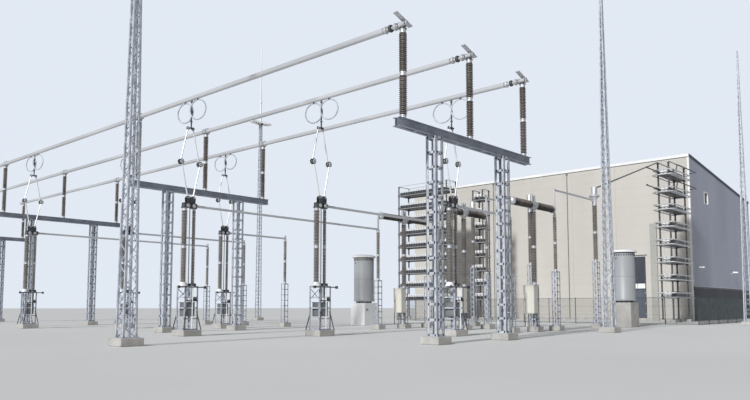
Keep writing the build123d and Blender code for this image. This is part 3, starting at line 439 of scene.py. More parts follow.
# %% Hoop
def join_rings(bm, near, far, index):
    """Faces between two rings of corners."""
    for j in range(len(near)):
        k = (j + 1) % len(near)
        bm.faces.new((near[j], near[k], far[k], far[j])).material_index = index


def hoop(bm, centre, axis, big, small, sides=48, ring=10, index=0):
    """A ring of round section."""
    along = axis.normalized()
    across = along.orthogonal().normalized()
    third = along.cross(across)
    rows = []
    for out in circle(Vector(), across, third, 1, sides):
        rows.append([bm.verts.new(spot) for spot in circle(centre + out * big, out, along, small, ring)])
    for near, far in zip(rows, rows[1:] + rows[:1]):
        join_rings(bm, near, far, index)


# %% Plate and run of an outline
def plate(bm, low, high, index=0, bevel=0.0):
    """A box between two corners, with its edges broken where a bevel is given."""
    x0, y0, z0 = low
    x1, y1, z1 = high
    floor_plan = ((x0, y0), (x1, y0), (x1, y1), (x0, y1))
    corners = [bm.verts.new((x, y, z)) for z in (z0, z1) for x, y in floor_plan]
    sides = ((0, 3, 2, 1), (4, 5, 6, 7), (0, 1, 5, 4), (1, 2, 6, 5), (2, 3, 7, 6), (3, 0, 4, 7))
    faces = [bm.faces.new([corners[i] for i in side]) for side in sides]
    for face in faces:
        face.material_index = index
    if bevel:
        edges = list({edge for face in faces for edge in face.edges})
        bmesh.ops.bevel(bm, geom=edges, offset=bevel, segments=1, affect="EDGES", material=-1)


def extruded(bm, outline, start, end, side, rise, index=0):
    """Runs an outline of (side, rise) pairs, drawn anticlockwise from the end, along a line."""
    near = [bm.verts.new(Vector(start) + side * a + rise * b) for a, b in outline]
    far = [bm.verts.new(Vector(end) + side * a + rise * b) for a, b in outline]
    bm.faces.new(near[::-1]).material_index = index
    bm.faces.new(far).material_index = index
    join_rings(bm, near, far, index)


# %% Bars that bend
def swept(bm, points, radius, normal, closed=False, sides=8, index=0):
    """A round bar along points that lie in one plane, given by its normal."""
    points = [Vector(point) for point in points]
    count = len(points)
    rows = []
    for i, point in enumerate(points):
        before = points[i - 1] if closed or i > 0 else point
        after = points[(i + 1) % count] if closed or i < count - 1 else point
        side = (after - before).normalized().cross(normal).normalized()
        rows.append([bm.verts.new(spot) for spot in circle(point, side, normal, radius, sides)])
    for near, far in zip(rows, rows[1:]):
        join_rings(bm, near, far, index)
    if closed:
        join_rings(bm, rows[-1], rows[0], index)
    else:
        bm.faces.new(rows[0][::-1]).material_index = index
        bm.faces.new(rows[-1]).material_index = index


def rounded(low, high, z, radius, steps=5):
    """Points of a rectangle with round corners at one height."""
    left, right, front, back = low.x + radius, high.x - radius, low.y + radius, high.y - radius
    points = []
    for quarter, (x, y) in enumerate(((right, back), (left, back), (left, front), (right, front))):
        for step in range(steps + 1):
            angle = math.radians(90 * (quarter + step / steps))
            points.append((x + radius * math.cos(angle), y + radius * math.sin(angle), z))
    return points


# %% [markdown]
# ## Pieces and their slots
# Every finished piece rides on a body of the model. The slot of its finish is looked up in the record,
# or in a table of nearest slots for a finish that the record doesn't list.

# %% Turning faces into a piece
record_slots = {entry["slot"] for entry in frame["record"]["materials"]}
nearest_slot = {
    "weathered_beams": "galvanised_steel",
    "weathered_porcelain": "brown_porcelain",
    "lying_porcelain": "brown_porcelain",
    "grey_porcelain": "brown_porcelain",
    "white_porcelain": "brown_porcelain",
    "can_dark": "can_grey",
}


def piece(name, source, materials, body="station", replaces=(), crease=35):
    """Makes an object from faces or from a mesh, and lets it ride on a body."""
    if isinstance(source, bmesh.types.BMesh):
        bmesh.ops.recalc_face_normals(source, faces=source.faces)
        mesh = bpy.data.meshes.new(name)
        source.to_mesh(mesh)
        source.free()
        for material in materials:
            mesh.materials.append(material)
    else:
        mesh = source
    mesh.name = name
    mesh.shade_smooth()
    mesh.set_sharp_from_angle(angle=math.radians(crease))
    made = bpy.data.objects.new(name, mesh)
    bpy.context.collection.objects.link(made)
    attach(made, body)
    first = materials[0].name
    first if first in record_slots else nearest_slot[first]
    if replaces:
        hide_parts(*replaces)
    print(name, len(mesh.polygons), "faces")
    return made


# %% [markdown]
# ## Geometry Nodes
# What repeats, such as sheds, battens, wires and cans, is made by small node trees. A short
# helper class writes a tree node by node and gives it named inputs. The modifier's result
# is then turned into a plain mesh, because instances and modifiers don't reach other tools.

# %% A helper that writes a node tree
class Tree:
    """A geometry node tree with named inputs, written node by node."""

    def __init__(self, name, **sizes):
        self.group = bpy.data.node_groups.new(name, "GeometryNodeTree")
        sockets = self.group.interface
        sockets.new_socket("Geometry", in_out="INPUT", socket_type="NodeSocketGeometry")
        sockets.new_socket("Geometry", in_out="OUTPUT", socket_type="NodeSocketGeometry")
        kinds = {int: "NodeSocketInt", float: "NodeSocketFloat", tuple: "NodeSocketVector"}
        for size, value in sizes.items():
            sockets.new_socket(size, in_out="INPUT", socket_type=kinds[type(value)]).default_value = value
        sockets.new_socket("Finish", in_out="INPUT", socket_type="NodeSocketMaterial")
        self.given = self.group.nodes.new("NodeGroupInput").outputs

    def node(self, kind, inputs, **settings):
        """Adds a node, sets or links its inputs, and gives back its outputs."""
        made = self.group.nodes.new(kind)
        for setting, value in settings.items():
            setattr(made, setting, value)
        for socket, value in inputs.items():
            for item in value if isinstance(value, list) else [value]:
                if isinstance(item, bpy.types.NodeSocket):
                    self.group.links.new(item, made.inputs[socket])
                else:
                    made.inputs[socket].default_value = item
        return made.outputs

    def end(self, geometry):
        """Ends the tree: instances become faces and get their finish."""
        real = self.node("GeometryNodeRealizeInstances", {"Geometry": geometry})[0]
        inputs = {"Geometry": real, "Material": self.given["Finish"]}
        finished = self.node("GeometryNodeSetMaterial", inputs)[0]
        output = self.group.nodes.new("NodeGroupOutput")
        self.group.links.new(finished, output.inputs[0])


# %% Steps that the trees share
class Workshop(Tree):
    """A tree with short words for the steps that every tree needs."""

    def step(self, operation, first, second=0.0, third=0.0):
        return self.node("ShaderNodeMath", {0: first, 1: second, 2: third}, operation=operation)[0]

    def times(self, first, second):
        return self.step("MULTIPLY", first, second)

    def minus(self, first, second):
        return self.step("SUBTRACT", first, second)

    def vector(self, x=0.0, y=0.0, z=0.0):
        return self.node("ShaderNodeCombineXYZ", {0: x, 1: y, 2: z})[0]

    def block(self, size):
        return self.node("GeometryNodeMeshCube", {"Size": size})[0]

    def moved(self, shape, **change):
        inputs = {"Geometry": shape}
        inputs.update({word.capitalize(): value for word, value in change.items()})
        return self.node("GeometryNodeTransform", inputs)[0]

    def joined(self, *shapes):
        return self.node("GeometryNodeJoinGeometry", {"Geometry": list(shapes)})[0]

    def row(self, count, offset, start=(0.0, 0.0, 0.0)):
        inputs = {"Count": count, "Start Location": start, "Offset": offset}
        return self.node("GeometryNodeMeshLine", inputs)[0]

    def placed(self, line, spot):
        return self.node("GeometryNodeSetPosition", {"Geometry": line, "Position": spot})[0]

    def repeat(self, points, shape, **settings):
        """Puts a shape on every point."""
        inputs = {"Points": points, "Instance": shape}
        inputs.update({socket.capitalize(): value for socket, value in settings.items()})
        return self.node("GeometryNodeInstanceOnPoints", inputs)[0]

    def steps_along(self, pitch):
        """Points at an even pitch along the lines that the tree is given."""
        curve = self.node("GeometryNodeMeshToCurve", {"Mesh": self.given["Geometry"]})[0]
        return self.node("GeometryNodeCurveToPoints", {"Curve": curve, "Length": pitch}, mode="LENGTH")

    def square_bar(self, line, radius):
        """A bar of square section along a line."""
        curve = self.node("GeometryNodeMeshToCurve", {"Mesh": line})[0]
        section = self.node("GeometryNodeCurvePrimitiveCircle", {"Resolution": 4, "Radius": radius})[0]
        inputs = {"Curve": curve, "Profile Curve": section, "Fill Caps": True}
        return self.node("GeometryNodeCurveToMesh", inputs)[0]

    def turning(self, turn):
        """A turn about the upright axis that grows from copy to copy."""
        number = self.node("GeometryNodeInputIndex", {})[0]
        return self.vector(0.0, 0.0, self.times(number, turn))

    def four_sided(self, side):
        """Four copies of one side, each a quarter turn on."""
        turns = self.row(4, (0.0, 0.0, 0.0))
        return self.repeat(turns, side, rotation=self.turning(math.pi / 2))


# %% Lines that the trees work along
def lines(paths, **values):
    """A mesh of polylines, with one number for each polyline where a value is named."""
    points, edges, owners = [], [], []
    for number, path in enumerate(paths):
        first = len(points)
        points += [tuple(p) for p in path]
        owners += [number] * len(path)
        edges += [(first + i, first + i + 1) for i in range(len(path) - 1)]
    mesh = bpy.data.meshes.new("lines")
    mesh.from_pydata(points, edges, [])
    for name, numbers in values.items():
        attribute = mesh.attributes.new(name, "FLOAT", "POINT")
        attribute.data.foreach_set("value", [numbers[owner] for owner in owners])
    return mesh


def feet(boxes):
    """Middle points of the undersides of boxes, each as a path of one point."""
    return [[((low.x + high.x) / 2, (low.y + high.y) / 2, low.z)] for low, high in boxes]


# %% Growing a piece from its lines
def grow(name, tree, mesh, material, body="station", replaces=(), **sizes):
    """Runs a tree on a mesh and keeps the result as a plain piece."""
    seed = bpy.data.objects.new(name + "_seed", mesh)
    bpy.context.collection.objects.link(seed)
    modifier = seed.modifiers.new("tree", "NODES")
    modifier.node_group = tree.group
    items = tree.group.interface.items_tree
    sockets = {item.name: item.identifier for item in items if item.in_out == "INPUT"}
    modifier[sockets["Finish"]] = material
    for size, value in sizes.items():
        modifier[sockets[size]] = value
    depsgraph = bpy.context.evaluated_depsgraph_get()
    result = bpy.data.meshes.new_from_object(seed.evaluated_get(depsgraph), depsgraph=depsgraph)
    seed.modifiers.clear()
    bpy.data.objects.remove(seed)
    bm = bmesh.new()
    bm.from_mesh(result)
    bmesh.ops.recalc_face_normals(bm, faces=bm.faces)
    bm.to_mesh(result)
    bm.free()
    return piece(name, result, [material], body, replaces)


# %% [markdown]
# ## Sheds of the insulators
# Porcelain insulators carry rows of thin skirts, called sheds, that keep a dry path along
# the column in rain. Each shed is a shallow cone. A lathe profile could hold them too. The
# tree is used because it sets the pitch and depth of all sheds at once: it walks along
# every axis line, sets a cone at each step and scales it to the column's girth.

# %% The tree for sheds
sheds_tree = Workshop("sheds", Pitch=0.008, Core=0.66, Depth=0.004, Sides=12)
given = sheds_tree.given
steps = sheds_tree.steps_along(given["Pitch"])
cone_sizes = {"Vertices": given["Sides"], "Radius Top": given["Core"], "Radius Bottom": 1.0}
cone_sizes["Depth"] = given["Depth"]
cone = sheds_tree.node("GeometryNodeMeshCone", cone_sizes)[0]
girth = sheds_tree.node("GeometryNodeInputNamedAttribute", {"Name": "girth"}, data_type="FLOAT")[0]
wide = sheds_tree.vector(girth, girth, 1.0)
sheds_tree.end(sheds_tree.repeat(steps["Points"], cone, rotation=steps["Rotation"], scale=wide))

# %% [markdown]
# ## Post insulators
# The CAD gives each column as a plain prism with flanges. Here the prism becomes a round
# core with metal flanges, and the sheds fill the stretches of porcelain between them. Foot,
# height and girth are read from the prism, so no column has to be placed by hand.

# %% Round columns from the CAD's prisms
FLANGE = 0.016
CAD_FLANGE_LIP = 0.004
CORE, RIM, NECK = 0.64, 0.84, 0.70
SHED_GAP = 0.006
FLANGE_PROFILE = ((0, RIM), (0.2, RIM), (0.3, NECK), (0.7, NECK), (0.8, RIM), (1, RIM))


def column_set(columns):
    """Cores and flanges for upright columns, and the lines and girths of their sheds."""
    bm = bmesh.new()
    shed_lines, girths = [], []
    for corners in columns:
        low, high = box_of(corners)
        has_flanges = len(corners) > 12
        radius = (high.x - low.x) / 2 - (CAD_FLANGE_LIP if has_flanges else 0)
        foot = Vector(((low.x + high.x) / 2, (low.y + high.y) / 2, low.z))
        height = high.z - low.z
        turned(bm, foot, up, [(0, CORE * radius), (height, CORE * radius)])
        ends = []
        for share in (0, 0.5, 1):
            level = share * (height - FLANGE)
            profile = [(level + rise * FLANGE, part * radius) for rise, part in FLANGE_PROFILE]
            turned(bm, foot, up, profile, index=1)
            ends += [level, level + FLANGE]
        for bottom, top in zip(ends[1::2], ends[2::2]):
            shed_lines.append((foot + up * (bottom + SHED_GAP), foot + up * (top - SHED_GAP)))
            girths.append(radius)
    return bm, shed_lines, girths


def insulators(name, columns, glaze, node):
    """Makes the cores and the sheds of a set of upright columns."""
    bm, shed_lines, girths = column_set(columns)
    piece(name + "_cores", bm, [glaze, cast_metal], replaces=[node])
    grow(name + "_sheds", sheds_tree, lines(shed_lines, girth=girths), glaze, replaces=[node])


# %% Columns on the portals, under the disconnectors and along the feeders
insulators("busbar_post", solids("busbar_posts"), porcelain, "busbar_posts")
insulators("disconnector_column", solids("disconnector_columns"), weathered_porcelain, "disconnector_columns")
insulators("equipment_post", solids("equipment_posts"), weathered_porcelain, "equipment_posts")

# %% [markdown]
# ## Circuit breakers
# Each breaker is a T: a hollow column carries a gearbox, and two interrupter chambers lie
# to the left and right of it. The chambers are porcelain with rounded metal ends. Nearly
# all of it is round, so the lathe makes it. Only the gearbox is a block, with its edges
# broken.

# %% Breaker columns
breaker_solids = solids("breaker_insulators")
upright = [s for s in breaker_solids if height_of(box_of(s)) > 0.2]
insulators("breaker_column", upright, weathered_porcelain, "breaker_insulators")
breaker_x = centre_of(*box_of(upright[0])).x

# %% Breaker chambers
CHAMBER_CORE, CHAMBER_SHED, SHED_MARGIN = 0.72, 0.98, 0.008
bm = bmesh.new()
chamber_lines, chamber_girths = [], []
for low, high in [box_of(s) for s in breaker_solids if height_of(box_of(s)) < 0.2]:
    middle = centre_of(low, high)
    radius = (high.z - low.z) / 2
    start = Vector((low.x, middle.y, middle.z))
    end = Vector((high.x, middle.y, middle.z))
    turned(bm, start, x_axis, [(0, radius * CHAMBER_CORE), (high.x - low.x, radius * CHAMBER_CORE)], 24)
    chamber_lines.append((start + x_axis * SHED_MARGIN, end - x_axis * SHED_MARGIN))
    chamber_girths.append(radius * CHAMBER_SHED)
piece("breaker_chamber_cores", bm, [lying_porcelain], replaces=["breaker_insulators"])
grow("breaker_chamber_sheds", sheds_tree, lines(chamber_lines, girth=chamber_girths), lying_porcelain,
     replaces=["breaker_insulators"], Sides=16, Core=0.74)

# %% Shapes of bells, chamber ends and gearboxes
def bell(bm, low, high):
    """The flared hood over an arrester, with the hoop round it."""
    middle, tall, r = centre_of(low, high), high.z - low.z, (high.x - low.x) / 2
    foot = Vector((middle.x, middle.y, low.z))
    neck, flare, cup = 0.40 * r, 0.74 * r, 0.52 * r
    profile = [(0, neck), (0.22, neck), (0.40, flare), (0.50, flare), (0.58, cup), (0.97, cup),
               (1, 0.9 * cup)]
    turned(bm, foot, up, [(share * tall, radius) for share, radius in profile], 32)
    hoop(bm, foot + up * 0.44 * tall, up, 0.87 * r, 0.12 * r, 40, 10, 1)


def chamber_end(bm, low, high):
    """The domed cap of a chamber, which points away from the breaker's column."""
    middle, length, r = centre_of(low, high), high.x - low.x, (high.z - low.z) / 2
    rightward = middle.x > breaker_x
    start = (low.x if rightward else high.x, middle.y, middle.z)
    dome = [(0, r), (0.35 * length, r), (0.6 * length, 0.88 * r), (0.85 * length, 0.6 * r), (length, 0)]
    turned(bm, start, x_axis if rightward else -x_axis, dome, 28)


def gearbox(bm, low, high):
    """The housing between two chambers, with its shaft, flanges and two short horns."""
    middle = centre_of(low, high)
    margin = Vector((0.006, 0.004, 0))
    plate(bm, low + margin, high - margin - up * 0.008, 0, 0.006)
    turned(bm, (middle.x, low.y, middle.z), y_axis, [(0, 0.016), (high.y - low.y, 0.016)])
    for side in (-1, 1):
        flange_start = middle + x_axis * side * 0.024
        turned(bm, flange_start, x_axis * side, [(0, 0.026), (0.006, 0.026)], 28)
    for shift in (-0.014, 0.014):
        horn = [(0, 0.0095), (0.044, 0.0095), (0.048, 0.006)]
        turned(bm, (middle.x + shift, middle.y, high.z - 0.009), up, horn, 16)


# %% Chamber ends, gearboxes and arrester bells
bm = bmesh.new()
for low, high in boxes("terminal_fittings"):
    if high.z - low.z > 0.1:
        bell(bm, low, high)
    elif high.x - low.x < 0.04:
        chamber_end(bm, low, high)
    else:
        gearbox(bm, low, high)
piece("breaker_and_bell_fittings", bm, [cast_metal, steel], replaces=["terminal_fittings"])

# %% [markdown]
# ## Portal legs
# The portals stand on battened legs: four corner angles tied by flat battens at an even
# pitch, like ladders on all four sides. One tree makes a quarter of a leg, which is a
# corner angle and one ladder side, and sets it four times round each foot point. The
# pedestals of the disconnectors are built alike in other sizes, and its inputs serve both.

# %% The tree for battened legs
leg_tree = Workshop("battened_leg", Height=0.883, Width=0.055, Angle=0.0140, Thickness=0.0016,
                    Pitch=0.067, Batten=0.011)
given, vector, times, minus = leg_tree.given, leg_tree.vector, leg_tree.times, leg_tree.minus
half_width = times(given["Width"], 0.5)
half_height = times(given["Height"], 0.5)
in_from_edge = minus(half_width, times(given["Angle"], 0.5))
at_face = minus(half_width, times(given["Thickness"], 0.5))
flat = leg_tree.block(vector(given["Angle"], given["Thickness"], given["Height"]))
flat = leg_tree.moved(flat, translation=vector(in_from_edge, at_face, half_height))
edge_on = leg_tree.block(vector(given["Thickness"], given["Angle"], given["Height"]))
edge_on = leg_tree.moved(edge_on, translation=vector(at_face, in_from_edge, half_height))
count = leg_tree.step("FLOOR", leg_tree.step("DIVIDE", given["Height"], given["Pitch"]))
spacing = leg_tree.step("DIVIDE", minus(given["Height"], given["Batten"]), count)
lowest = vector(0.0, at_face, times(given["Batten"], 0.5))
rungs = leg_tree.row(leg_tree.step("ADD", count, 1.0), vector(0.0, 0.0, spacing), lowest)
batten = leg_tree.block(vector(minus(given["Width"], given["Angle"]), given["Thickness"], given["Batten"]))
quarter = leg_tree.joined(flat, edge_on, leg_tree.repeat(rungs, batten))
leg_tree.end(leg_tree.repeat(given["Geometry"], leg_tree.four_sided(quarter)))

# %% Portal legs
leg_boxes = boxes("portal_legs")
grow("portal_leg_battens", leg_tree, lines(feet(leg_boxes)), steel, replaces=["portal_legs"])

# %% Pedestals of the disconnectors and posts
WIDE = 0.06
pedestals = boxes("equipment_pedestals")
wide_pedestals = [b for b in pedestals if b[1].x - b[0].x > WIDE]


def size_of(box):
    """Height and width of a pedestal, to the millimetre."""
    return round(height_of(box), 3), round(box[1].x - box[0].x, 3)


for height, width in sorted({size_of(b) for b in pedestals}):
    group = [b for b in pedestals if size_of(b) == (height, width)]
    name = f"pedestal_battens_{round(height * 1000)}"
    angle, pitch = (0.009, 0.06) if width > WIDE else (0.007, 0.042)
    grow(name, leg_tree, lines(feet(group)), steel, replaces=["equipment_pedestals"],
         Height=height, Width=width, Angle=angle, Pitch=pitch, Batten=0.007)

# %% [markdown]
# ## Lattice masts
# Lightning masts taper towards the top. Each side is a single zigzag between two corner
# bars. Placed one by one, the braces would be hundreds of bars, but they follow one rule.
# The tree bends a straight row of points into the zigzag, sweeps a thin bar along it, and
# repeats the side four times round the mast.

# %% The tree for lattice masts
mast_tree = Workshop("lattice_mast", Height=2.466, Base=0.066, Top=0.014, Panels=56, Bar=0.0027, Leg=0.0085)
given, vector, times, minus = mast_tree.given, mast_tree.vector, mast_tree.times, mast_tree.minus
position = mast_tree.node("GeometryNodeInputPosition", {})[0]
level = mast_tree.node("ShaderNodeSeparateXYZ", {0: position})["Z"]
share = mast_tree.step("DIVIDE", level, given["Height"])
width_there = mast_tree.step("MULTIPLY_ADD", share, minus(given["Top"], given["Base"]), given["Base"])
inset = minus(times(width_there, 0.5), times(given["Leg"], 0.5))
rise = mast_tree.step("DIVIDE", given["Height"], given["Panels"])
ladder = mast_tree.row(mast_tree.step("ADD", given["Panels"], 1.0), vector(0.0, 0.0, rise))
odd = mast_tree.step("MODULO", mast_tree.node("GeometryNodeInputIndex", {})[0], 2.0)
sideways = mast_tree.step("MULTIPLY_ADD", odd, 2.0, -1.0)
zigzag = mast_tree.placed(ladder, vector(times(sideways, inset), inset, level))
corner_line = mast_tree.row(2, vector(0.0, 0.0, given["Height"]))
corner_line = mast_tree.placed(corner_line, vector(inset, inset, level))
braces = mast_tree.square_bar(zigzag, given["Bar"])
corner_bar = mast_tree.square_bar(corner_line, times(given["Leg"], 0.7))
side = mast_tree.joined(braces, corner_bar)
mast_tree.end(mast_tree.repeat(given["Geometry"], mast_tree.four_sided(side)))

# %% Masts
mast_boxes = boxes("lattice_masts")
lamp_mast = max(mast_boxes, key=lambda b: b[0].y)
lightning_masts = [b for b in mast_boxes if b is not lamp_mast]
grow("mast_lattices", mast_tree, lines(feet(lightning_masts)), steel, replaces=["lattice_masts"])
grow("lamp_mast_lattice", mast_tree, lines(feet([lamp_mast])), steel, replaces=["lattice_masts"],
     Base=0.058, Top=0.032)

# %% [markdown]
# ## Portal beams
# Each beam is a pair of rolled channels set back to back with a gap between, tied by short
# plates. A plain box would miss the shadow under the lips, which is what tells a rolled
# section from a plank. So the outline of a channel is run along the beam on each side.

# %% Beams
DEEP, WEB, LIP, BROAD = 0.038, 0.0018, 0.0022, 0.014
HALF_GAP = 0.007
bm = bmesh.new()
channel = [(0, 0), (BROAD, 0), (BROAD, LIP), (WEB, LIP),
           (WEB, DEEP - LIP), (BROAD, DEEP - LIP), (BROAD, DEEP), (0, DEEP)]
mirrored = [(-a, b) for a, b in channel][::-1]
tie_lines = []
for low, high in boxes("portal_beams"):
    y = (low.y + high.y) / 2
    for side, outline in ((-1, mirrored), (1, channel)):
        web_y = y + side * HALF_GAP
        extruded(bm, outline, (low.x, web_y, low.z), (high.x, web_y, low.z), y_axis, up)
    for z in (high.z - 0.001, low.z + 0.001):
        tie_lines.append(((low.x + 0.02, y, z), (high.x - 0.02, y, z)))
piece("portal_beam_channels", bm, [shaded_beam_steel], replaces=["portal_beams"])

# %% [markdown]
# ## Blocks along a line
# Ties on beams, slats of a louvre, wires of a fence and rows of capacitor cans are all
# blocks of one size at one pitch. One tree serves for all of them.

# %% The tree for blocks along lines
row_tree = Workshop("row_of_blocks", Pitch=0.05, Size=(0.01, 0.01, 0.01))
steps = row_tree.steps_along(row_tree.given["Pitch"])
row_tree.end(row_tree.repeat(steps["Points"], row_tree.block(row_tree.given["Size"])))
grow("portal_beam_ties", row_tree, lines(tie_lines), shaded_beam_steel, replaces=["portal_beams"],
     Pitch=0.1, Size=(0.024, 0.036, 0.0016))

# %% [markdown]
# ## Busbars
# The busbars are plain aluminium tubes. They cross the whole picture at a slant, where a
# coarse tube would show its flats as stripes, so they have enough sides to look round.

# %% Busbar tubes
BUSBAR_RADIUS = 0.0135
bm = bmesh.new()
for solid in solids("busbars"):
    start, end = ends_of(solid, 1)
    tube(bm, start, end, BUSBAR_RADIUS, 32)
piece("busbar_tubes", bm, [tube_metal], replaces=["busbars"])

# %% [markdown]
# ## Feeders
# Tubes lead from each disconnector's head to the next post. Cast clamps at both ends hold
# them, which show as short thicker sleeves. The CAD has them as prisms in several
# directions. Only their ends are read from it, and a round tube is drawn between the two.

# %% Feeder tubes with clamps
SLANTING_RADIUS, LEVEL_RADIUS = 0.0064, 0.0072
bm = bmesh.new()
for solid in solids("feeders"):
    low, high = box_of(solid)
    axis = max(range(3), key=lambda i: high[i] - low[i])
    start, end = ends_of(solid, axis)
    slanting = abs(end.z - start.z) > 0.1 and axis == 0
    radius = SLANTING_RADIUS if slanting else LEVEL_RADIUS
    # Painted shade: the slanting tubes take the dark pipe grey in place of the aluminium's colour, for the shade
    # they lie in.
    tube(bm, start, end, radius, 20, 2 if slanting else 0)
    run = (end - start).normalized()
    for tip, inward in ((start, run), (end, -run)):
        turned(bm, tip, inward, [(0, radius * 1.12), (0.004, radius * 1.12), (0.006, radius)], 20, 1)
piece("feeder_tubes", bm, [tube_metal, cast_metal, pipe_grey], replaces=["feeders"])

# %% [markdown]
# ## Pantograph arms
# The pantograph disconnector is the yard's cleverest machine. Two scissor arms rise from
# the head and grip a rod below the busbar. Each arm is a light tube with a round knuckle,
# and rides on its own body, because it folds. One function makes all of them. The model's
# joints say where each arm turns, so every knuckle sits on the axis of its own fold.

# %% Knuckles
joint_places = {joint["child"]: Vector(joint["pos_m"]) for joint in frame["joints"]}
HUB = 0.011
ELBOW, FOOT_HUB, TIP_HUB = 0.016, 0.011, 0.010


def knuckle(bm, centre, radius, y0):
    """A round knuckle: its dark rim is painted shade, and the bright boss on both faces is a painted highlight."""
    start = (centre.x, y0, centre.z)
    rim, boss = 0.82 * radius, 0.68 * radius
    # Painted light: the dark rim stands for the knuckle's shade and the bright boss for its highlight.
    dark = [(0.12, rim), (0.3, radius), (0.7, radius), (0.88, rim)]
    bright = [(0, 0.8 * boss), (0.08, boss), (0.92, boss), (1, 0.8 * boss)]
    for index, profile in ((1, dark), (2, bright)):
        turned(bm, start, y_axis, [(share * HUB, r) for share, r in profile], 28, index)


# %% Arms that fold
def upper_end(name, bm, y0, low, high):
    """The tip of an upper arm and the jaw that reaches from it towards the rod."""
    elbow_of_lower = joint_places[name.replace("_upper_", "_lower_")]
    tip = Vector((elbow_of_lower.x, y0 + HUB / 2, high.z - 0.011))
    toward_rod = -1 if name.endswith("right") else 1
    jaw_x = sorted((tip.x, tip.x + toward_rod * 0.013))
    plate(bm, (jaw_x[0], low.y, tip.z - 0.003), (jaw_x[1], high.y, tip.z + 0.003), 1, 0.0008)
    return tip


def lower_end(name, bm, y0, low, high):
    """The elbow of a lower arm and the pin on which the upper arm turns."""
    place = joint_places[name.replace("_lower_", "_upper_")]
    tube(bm, (place.x, y0, place.z), (place.x, high.y, place.z), 0.0038, 12, 1)
    return Vector((place.x, y0 + HUB / 2, place.z))


def arm(name):
    low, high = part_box(name)
    bm = bmesh.new()
    is_upper = "_upper_" in name
    y0 = high.y - HUB if is_upper else low.y
    foot = Vector((joint_places[name].x, y0 + HUB / 2, joint_places[name].z))
    tip = (upper_end if is_upper else lower_end)(name, bm, y0, low, high)
    run = tip - foot
    turned(bm, foot, run, [(0, 0.0044), (run.length * 0.5, 0.0040), (run.length, 0.0034)], 16)
    knuckle(bm, foot, ELBOW if is_upper else FOOT_HUB, y0)
    knuckle(bm, tip, TIP_HUB if is_upper else ELBOW, y0)
    return piece(name + "_tube", bm, [arm_metal, dark_casting, arm_metal], body=name, replaces=[name])


for name in sorted(n for n in frame["nodes"] if n.startswith("pole_")):
    arm(name)

# %% [markdown]
# ## Fixed contacts
# Below the busbar hangs a rod that the arms grip. Two hoops beside it steady it and keep
# the electric field smooth, which is why nothing on them has a sharp edge. A torus from
# Blender's own set would do, but the hoop helper can face any way and shares the mesh.

# %% Profiles with two equal ends and upright tubes
def both_ends(length, near):
    """A lathe profile that looks the same from either end."""
    return near + [(length - along, radius) for along, radius in near[::-1]]


def standing_tube(bm, x, y, bottom, top, radius, sides=12, index=0):
    """An upright tube."""
    tube(bm, (x, y, bottom), (x, y, top), radius, sides, index)


# %% Rods and hoops
HOOP_FACING = Vector((0.97, 0.24, 0))
HOOP_RADIUS, HOOP_BAR, ROD_RADIUS = 0.0580, 0.0042, 0.0042
rod_collar = both_ends(0.010, [(0, ROD_RADIUS), (0.002, 0.0070)])
bm = bmesh.new()
for low, high in boxes("fixed_contacts"):
    x, y, _ = centre_of(low, high)
    standing_tube(bm, x, y, low.z, high.z, ROD_RADIUS, 12, 1)
    for side in (-1, 1):
        centre = Vector((x, y + side * 0.064, high.z - 0.063))
        hoop(bm, centre, HOOP_FACING, HOOP_RADIUS, HOOP_BAR, 56)
        turned(bm, centre + up * 0.056, up, [(0, 0.006), (0.004, 0.0075), (0.007, 0.0075)], 16, 1)
    for share in (0.25, 0.6, 0.95):
        level = low.z + (high.z - low.z) * share
        turned(bm, (x, y, level - 0.005), up, rod_collar, 14, 1)
piece("contact_hoops", bm, [steel, dark_casting], replaces=["fixed_contacts"])

# %% [markdown]
# ## Reactors
# The shrouded reactors are pale drums under shallow hats. A lathe profile gives the drum
# and its foot ring. A second one gives the hat, which has a finish of its own.

# %% Reactor drums
DRUM = 0.09
drum_profile = [(0, 0.060), (0.012, 0.062), (0.014, DRUM), (0.022, DRUM + 0.003), (0.028, DRUM),
                (0.40, DRUM), (0.405, DRUM - 0.004), (0.409, DRUM - 0.004)]
hat_rim = [(0.409, 0.100), (0.410, 0.107), (0.417, 0.107), (0.426, 0.101), (0.433, 0.082)]
bm = bmesh.new()
for low, high in boxes("reactor_tanks"):
    x, y, _ = centre_of(low, high)
    height = high.z - low.z
    turned(bm, (x, y, low.z), up, drum_profile, 64)
    turned(bm, (x, y, low.z), up, hat_rim + [(height - 0.001, 0.045), (height, 0)], 64, 1)
piece("reactor_drums", bm, [grey_paint, white_trim], replaces=["reactor_tanks"], crease=30)

# %% [markdown]
# ## Capacitor towers
# A capacitor tower is a stack of steel platforms held apart by dark post insulators. A round
# tube runs round every platform to smooth the electric field. The cans stand on the
# platforms in two rows, each can with white bushings on top. The tiers differ only in
# their height, which is read from the CAD, so one function makes each of them.

# %% Towers and their platforms
rack_boxes = boxes("capacitor_racks")
tower_boxes = [b for b in rack_boxes if height_of(b) > 0.3]
platforms = [b for b in rack_boxes if height_of(b) < 0.03]
near_tower = min(tower_boxes, key=lambda b: b[0].y)


def own_platforms(tower_low, tower_high):
    """The platforms of one tower, from the lowest up."""
    own = []
    for low, high in platforms:
        if tower_low.x < low.x + 0.01 < tower_high.x and tower_low.y < low.y < tower_high.y:
            own.append((low, high))
    return sorted(own, key=lambda b: b[0].z)


print(len(tower_boxes), "towers,", len(platforms), "platforms")

# %% A platform and a post
RAIL, POST_INSET, TOP_FRAME = 0.009, 0.010, 0.008


